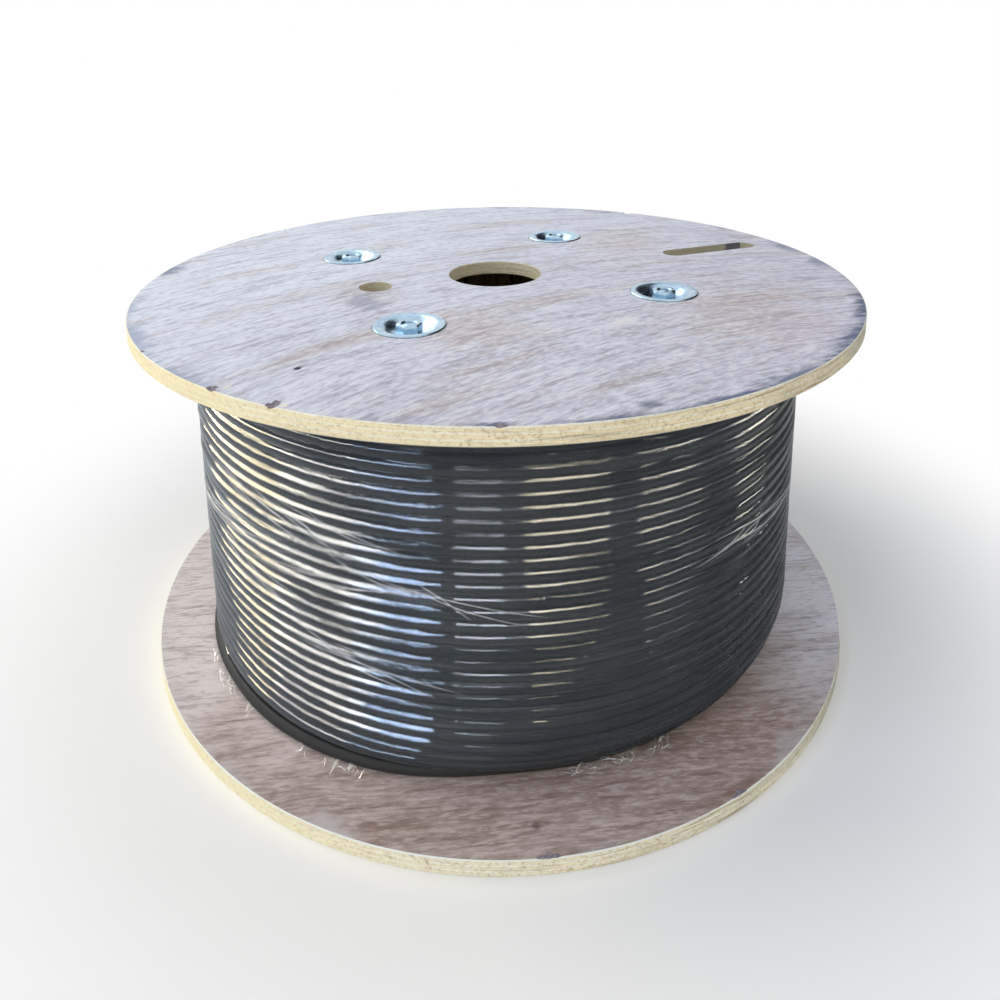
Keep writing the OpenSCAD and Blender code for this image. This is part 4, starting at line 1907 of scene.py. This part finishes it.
@dataclass
class BarrelStaves:
    """The barrel's staves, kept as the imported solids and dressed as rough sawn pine."""

    nodes: dict[str, Piece]
    prefix: str = "barrel_stave_"

    def dress(self) -> int:
        """Give every stave its finish and return how many there are."""
        finish = SawnSoftwood().make()
        staves = [piece for name, piece in self.nodes.items() if name.startswith(self.prefix)]
        for stave in staves:
            coat(stave, finish)
        return len(staves)


class LampRole(Enum):
    """What a lamp is for: light on matt wood, a panel that shows in film, or one in metal and bare cable."""

    FILL = "fill"
    SHEEN = "sheen"
    GLINT = "glint"


@dataclass(frozen=True)
class SoftLamp:
    """A soft area lamp round the drum, by its angle to the right of the camera."""

    name: str
    role: LampRole
    side: float
    rise: float
    distance: float
    width: float
    height: float
    glow: float
    colour: str

    def build(self, aim: Vector) -> Piece:
        """Make the lamp.

        Args:
            aim: The point that it lights.

        Returns:
            The lamp, turned to that point.
        """
        data = bpy.data.lights.new(self.name, "AREA")
        data.shape = "RECTANGLE"
        data.size = self.width
        data.size_y = self.height
        data.energy = self.glow * pi * self.width * self.height
        data.color = srgb(self.colour)[:3]
        lamp = new_piece(self.name, data)
        angle = CAMERA_SIDE + radians(self.side)
        rise = radians(self.rise)
        lamp.location = aim + polar(self.distance * cos(rise), angle, self.distance * sin(rise))
        lamp.rotation_euler = (aim - lamp.location).to_track_quat("-Z", "Y").to_euler()
        lamp.visible_glossy = self.role is not LampRole.FILL
        lamp.visible_diffuse = self.role is LampRole.FILL
        return lamp


@dataclass(frozen=True)
class PhotoCamera:
    """The photograph's viewpoint, fitted to the outlines of the flanges."""

    lens_mm: float = 29.977
    sensor_mm: float = 36.0
    nearest: float = 0.05
    shift_right: float = 0.01
    shift_up: float = -0.285
    distance: float = 0.7088
    height: float = 0.4915
    yaw: float = radians(-0.289)
    pitch: float = radians(11.722)
    roll: float = radians(0.814)

    def build(self) -> Piece:
        """Return the scene's camera."""
        data = bpy.data.cameras.new("photo_camera")
        data.lens = self.lens_mm
        data.sensor_width = self.sensor_mm
        data.shift_x = self.shift_right
        data.shift_y = self.shift_up
        data.clip_start = self.nearest
        flat = cos(self.pitch)
        forward = Vector((sin(self.yaw) * flat, cos(self.yaw) * flat, -sin(self.pitch)))
        level = Vector((cos(self.yaw), -sin(self.yaw), 0.0))
        down = forward.cross(level)
        right = cos(self.roll) * level + sin(self.roll) * down
        up = sin(self.roll) * level - cos(self.roll) * down
        turn = Matrix((right, up, -forward)).transposed().to_4x4()
        camera = new_piece("photo_camera", data)
        place = Matrix.Translation((0.0, -self.distance, self.height)) @ turn
        camera.matrix_world = Matrix.Rotation(PHOTO_TURN, 4, "Z") @ place
        bpy.context.scene.camera = camera
        return camera


@dataclass
class Studio:
    """A pale floor, a white surround, soft lamps and the camera."""

    floor_half: float = 9.0
    floor_tone: Colour = (0.93, 0.93, 0.93, 1.0)
    clear_from: float = 0.31
    clear_to: float = 0.62
    sky: str = "dfe6f2"
    sky_glow: float = 0.55
    card: str = "1a1d22"
    card_side: float = 116.0
    card_distance: float = 3.8
    card_foot: float = 0.05
    card_width: float = 8.2
    card_height: float = 6.4
    film_pieces: tuple[str, ...] = ("film_sleeve", "film_threads", "film_tatters")
    polished_pieces: tuple[str, ...] = (
        "upper_washers",
        "lower_washers",
        "tie_nuts",
        "tie_bolts",
        "wound_cable",
    )
    lamps: tuple[SoftLamp, ...] = (
        SoftLamp("overhead", LampRole.FILL, 160, 78, 2.6, 1.8, 1.8, 0.35, "fbfbff"),
        SoftLamp("left_fill", LampRole.FILL, -106, 34, 3, 1.95, 0.24, 22, "fff0cc"),
        SoftLamp("front_left_fill", LampRole.FILL, -55, 35, 3, 1.7, 0.30, 17, "e2ecff"),
        SoftLamp("front_right_fill", LampRole.FILL, 26, 36, 3, 1.4, 0.22, 14, "fff0c8"),
        SoftLamp("right_fill", LampRole.FILL, 110, 34, 3, 1.5, 0.16, 8, "ffffff"),
        SoftLamp("back_left_wall", LampRole.SHEEN, -148, 28, 3, 1.8, 1.9, 44, "fffaee"),
        SoftLamp("left_wall", LampRole.SHEEN, -104, 31, 3, 2.4, 2, 48, "ffefc2"),
        SoftLamp("left_sky", LampRole.SHEEN, -66, 34, 3, 1.7, 1.6, 46, "f8f4ea"),
        SoftLamp("blue_sky", LampRole.SHEEN, -38, 34, 3, 1.35, 1.25, 46, "bcd6ff"),
        SoftLamp("front_sky", LampRole.SHEEN, -7, 38, 3, 0.70, 0.55, 30, "e8f0ff"),
        SoftLamp("front_right_wall", LampRole.SHEEN, 24.3, 36, 3, 1.25, 0.75, 40, "fff2cc"),
        SoftLamp("right_gap", LampRole.SHEEN, 60, 26, 3, 1.15, 0.40, 60, "fff4dc"),
        SoftLamp("right_sky", LampRole.SHEEN, 97, 14, 3, 1.30, 0.36, 60, "fff8e4"),
        SoftLamp("front_horizon", LampRole.SHEEN, 22, 36, 3.2, 3.4, 0.35, 9, "d8e4f4"),
        SoftLamp("right_horizon", LampRole.SHEEN, 78, 20, 3.2, 2.8, 0.30, 12, "d8e4f4"),
        SoftLamp("metal_light", LampRole.GLINT, -132, 34, 3, 2.6, 2.2, 2.4, "f4faff"),
    )

    def build(self) -> None:
        """Make the camera, the floor, the surround and the lamps."""
        PhotoCamera().build()
        low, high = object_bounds()
        aim = (low + high) / 2.0
        receivers = {
            LampRole.SHEEN: self.collected("film_receivers", self.film_pieces),
            LampRole.GLINT: self.collected("polished_receivers", self.polished_pieces),
        }
        for lamp in self.lamps:
            made = lamp.build(aim)
            if lamp.role in receivers:
                made.light_linking.receiver_collection = receivers[lamp.role]
        self.floor()
        self.dark_card(aim)
        self.surround()
        bpy.context.scene.view_settings.view_transform = "Standard"

    def collected(self, name: str, pieces: Sequence[str]) -> bpy.types.Collection:
        """Return a collection of the pieces that a kind of lamp shows in."""
        collection = bpy.data.collections.new(name)
        for piece in pieces:
            collection.objects.link(bpy.data.objects[piece])
        return collection

    def seen_directly(self, graph: NodeGraph) -> Socket:
        """Return 1 for rays from the camera, mirrors and clear pieces, and 0 for all others."""
        rays = graph.add("ShaderNodeLightPath").outputs
        direct = graph.math("MAXIMUM", rays["Is Camera Ray"], rays["Is Glossy Ray"])
        return graph.math("MAXIMUM", direct, rays["Is Transmission Ray"])

    def surround(self) -> None:
        """Make the world: white where it is seen, a soft sky where it lights."""
        world = bpy.data.worlds.new("white_surround")
        bpy.context.scene.world = world
        world.use_nodes = True
        graph = NodeGraph(world.node_tree)
        graph.tree.nodes.clear()
        sky = graph.out("ShaderNodeBackground", {"Color": srgb(self.sky), "Strength": self.sky_glow})
        white = graph.out("ShaderNodeBackground", {"Color": WHITE, "Strength": 1.0})
        mixed = graph.layer(self.seen_directly(graph), sky, white)
        graph.add("ShaderNodeOutputWorld", {"Surface": mixed})

    def dark_card(self, aim: Vector) -> None:
        """Make a dark card behind and to the right, which only shows in polished metal and film.

        Args:
            aim: The drum's middle.
        """
        angle = CAMERA_SIDE + radians(self.card_side)
        half = Vector((-sin(angle), cos(angle), 0.0)) * self.card_width / 2.0
        foot = Vector((aim.x, aim.y, 0.0)) + polar(self.card_distance, angle, self.card_foot)
        rise = Vector((0.0, 0.0, self.card_height))
        corners = [foot - half, foot + half, foot + half + rise, foot - half + rise]
        card = new_piece("dark_card", plain_mesh("dark_card", corners, [(0, 1, 2, 3)]))
        graph = FinishGraph("dark_card")
        coat(card, graph.close(graph.principled(base_color=srgb(self.card), roughness=1.0)))
        card.visible_camera = False
        card.visible_diffuse = False
        card.visible_transmission = False
        card.visible_shadow = False
        card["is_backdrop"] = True

    def floor(self) -> None:
        """Make the floor, which keeps the shadow and fades to white further out."""
        half = self.floor_half
        corners = [(-half, -half, 0.0), (half, -half, 0.0), (half, half, 0.0), (-half, half, 0.0)]
        floor = new_piece("floor", plain_mesh("floor", corners, [(0, 1, 2, 3)]))
        graph = FinishGraph("pale_floor")
        away = graph.fade(graph.reach(graph.place()), self.clear_from, self.clear_to)
        share = graph.times(away, self.seen_directly(graph))
        matt = graph.out("ShaderNodeBsdfDiffuse", {"Color": self.floor_tone})
        glow = graph.out("ShaderNodeEmission", {"Color": WHITE, "Strength": 1.0})
        coat(floor, graph.close(graph.layer(share, matt, glow)))
        floor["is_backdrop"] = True


def upper_flange() -> PlywoodFlange:
    """Return the upper flange, its weather worn face up."""
    nail = (0.2488, -140.6)
    veneer = WeatheredVeneer(
        name="upper_veneer",
        pale="e0e7f6",
        warm="cccddc",
        brown="b59d8d",
        pore="877d82",
        stain="76809a",
        bleached="f2f2f7",
        grain_turn=radians(15.0),
        grain_bow=0.85,
        warm_side=radians(-62.0),
        stain_inner=0.290,
        seed=11.0,
        grain_contrast=0.95,
        tints=(
            VeneerMark(0.215, -52, 60 * MM, 110 * MM, "c6ac9c", 0.32, 4),
            VeneerMark(0.262, -56, 40 * MM, 90 * MM, "c8aebc", 0.28, 4),
            VeneerMark(0.170, 20, 70 * MM, 60 * MM, "c9b5aa", 0.4, 4),
            VeneerMark(0.150, -115, 50 * MM, 60 * MM, "c0ab9e", 0.5, 4),
            VeneerMark(0.120, -170, 40 * MM, 50 * MM, "bfb0aa", 0.5, 3),
        ),
        marks=(
            VeneerMark(0.1264, -163, 22 * MM, 36 * MM, "989eb2", 0.65, 4.5),
            VeneerMark(0.1606, -74.6, 7 * MM, 22 * MM, "ece8ea", 0.6),
            VeneerMark(0.300, 178, 9 * MM, 40 * MM, "93a3c0", 0.5, 3.5),
            VeneerMark(0.299, -167, 13 * MM, 70 * MM, "98a7c2", 0.55, 3.5),
            VeneerMark(0.300, -150.2, 10 * MM, 50 * MM, "93a1bc", 0.5, 3.5),
            VeneerMark(0.297, -111, 5 * MM, 18 * MM, "46546f", 0.85),
            VeneerMark(0.297, -103, 5 * MM, 16 * MM, "66748f", 0.5),
            VeneerMark(0.287, -93, 7 * MM, 12 * MM, "56627c", 0.75, 1.5),
            VeneerMark(0.301, -98, 9 * MM, 60 * MM, "566381", 0.8, 2.6),
            VeneerMark(0.301, -85, 10 * MM, 80 * MM, "566381", 0.8, 2.6),
            VeneerMark(0.300, -40, 14 * MM, 44 * MM, "4d5b7a", 0.85, 3.4),
            VeneerMark(0.300, -55, 15 * MM, 60 * MM, "4d5b7a", 0.85, 3.4),
            VeneerMark(0.301, -74, 13 * MM, 90 * MM, "566381", 0.8, 3.4),
            VeneerMark(0.292, -143.9, 6 * MM, 1.6 * MM, "f3e8d6", 0.9, 0.8),
            VeneerMark(0.295, -134.4, 4 * MM, 3 * MM, "f3e8d6", 0.9, 0.8),
            VeneerMark(*nail, 5 * MM, 2.4 * MM, "4a4240", 0.95, 0.6),
        ),
    )
    chips = (
        RimChip(-145.1, 6 * MM, 6 * MM, 1.6 * MM),
        RimChip(-135.7, 7 * MM, 7 * MM, 1.9 * MM),
        RimChip(-110, 7 * MM, 4 * MM, 1.2 * MM),
        RimChip(-163, 5 * MM, 3 * MM, 0.7 * MM),
        RimChip(38, 10 * MM, 5 * MM, 1.5 * MM),
        RimChip(121, 8 * MM, 4 * MM, 1.3 * MM),
    )
    return PlywoodFlange("upper_flange", OuterFace.UP, veneer, chips, 2.0, slotted=True, nail_spots=(nail,))


def lower_flange() -> PlywoodFlange:
    """Return the lower flange, its cleaner inner face up."""
    veneer = WeatheredVeneer(
        name="lower_veneer",
        pale="e2d9da",
        warm="ac9a94",
        brown="9c8276",
        pore="6d5a54",
        stain="c9c2c4",
        bleached="dcd2cf",
        grain_turn=radians(-15.0),
        warm_side=radians(-90.0),
        stain_inner=0.292,
        seed=23.0,
        grain_scale=(20.0, 250.0),
        warm_from=0.20,
        warm_to=0.36,
        # Painted light: a pale, bluish patch over the right-hand part of the face, lightening the side that
        # the lamps leave darker.
        tints=(VeneerMark(0.290, -28, 130 * MM, 230 * MM, "eeeefc", 0.95, 0.5),),
        marks=(
            VeneerMark(0.295, -79, 5 * MM, 34 * MM, "8a6b5e", 0.7),
            VeneerMark(0.297, -104, 4 * MM, 20 * MM, "9a7f72", 0.5),
            VeneerMark(0.278, -106, 4 * MM, 4 * MM, "6b5852", 0.8),
        ),
    )
    chips = (
        RimChip(-105, 16 * MM, 3 * MM, 1 * MM),
        RimChip(-79.2, 14 * MM, 3 * MM, 1 * MM),
        RimChip(20, 9 * MM, 4 * MM, 1.2 * MM),
        RimChip(146, 10 * MM, 4 * MM, 1.2 * MM),
    )
    return PlywoodFlange(
        "lower_flange",
        OuterFace.DOWN,
        veneer,
        chips,
        5.0,
        edge_tones=("fffbe8", "fbf3d6", "e6dab4"),
        arris_share=0.95,
        painted_shade_share=0.95,
    )


def main() -> None:
    """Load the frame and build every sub-assembly in order."""
    logging.basicConfig(level=logging.INFO, format="%(message)s")
    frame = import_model()
    for flange in (upper_flange(), lower_flange()):
        report(flange.build())
    winding = WoundCable()
    report(winding.build())
    film = FilmSleeve(winding)
    film.build()
    for piece in film.pieces:
        report(piece)
    for piece in TieHardware().build():
        report(piece)
    LOG.info("staves dressed: %d", BarrelStaves(frame["nodes"]).dress())
    Studio().build()


def report(piece: Piece) -> None:
    """Log a finished piece and its number of triangles."""
    triangles = sum(len(face.vertices) - 2 for face in piece.data.polygons)
    LOG.info("%s: %d triangles", piece.name, triangles)


if __name__ == "__main__":
    main()
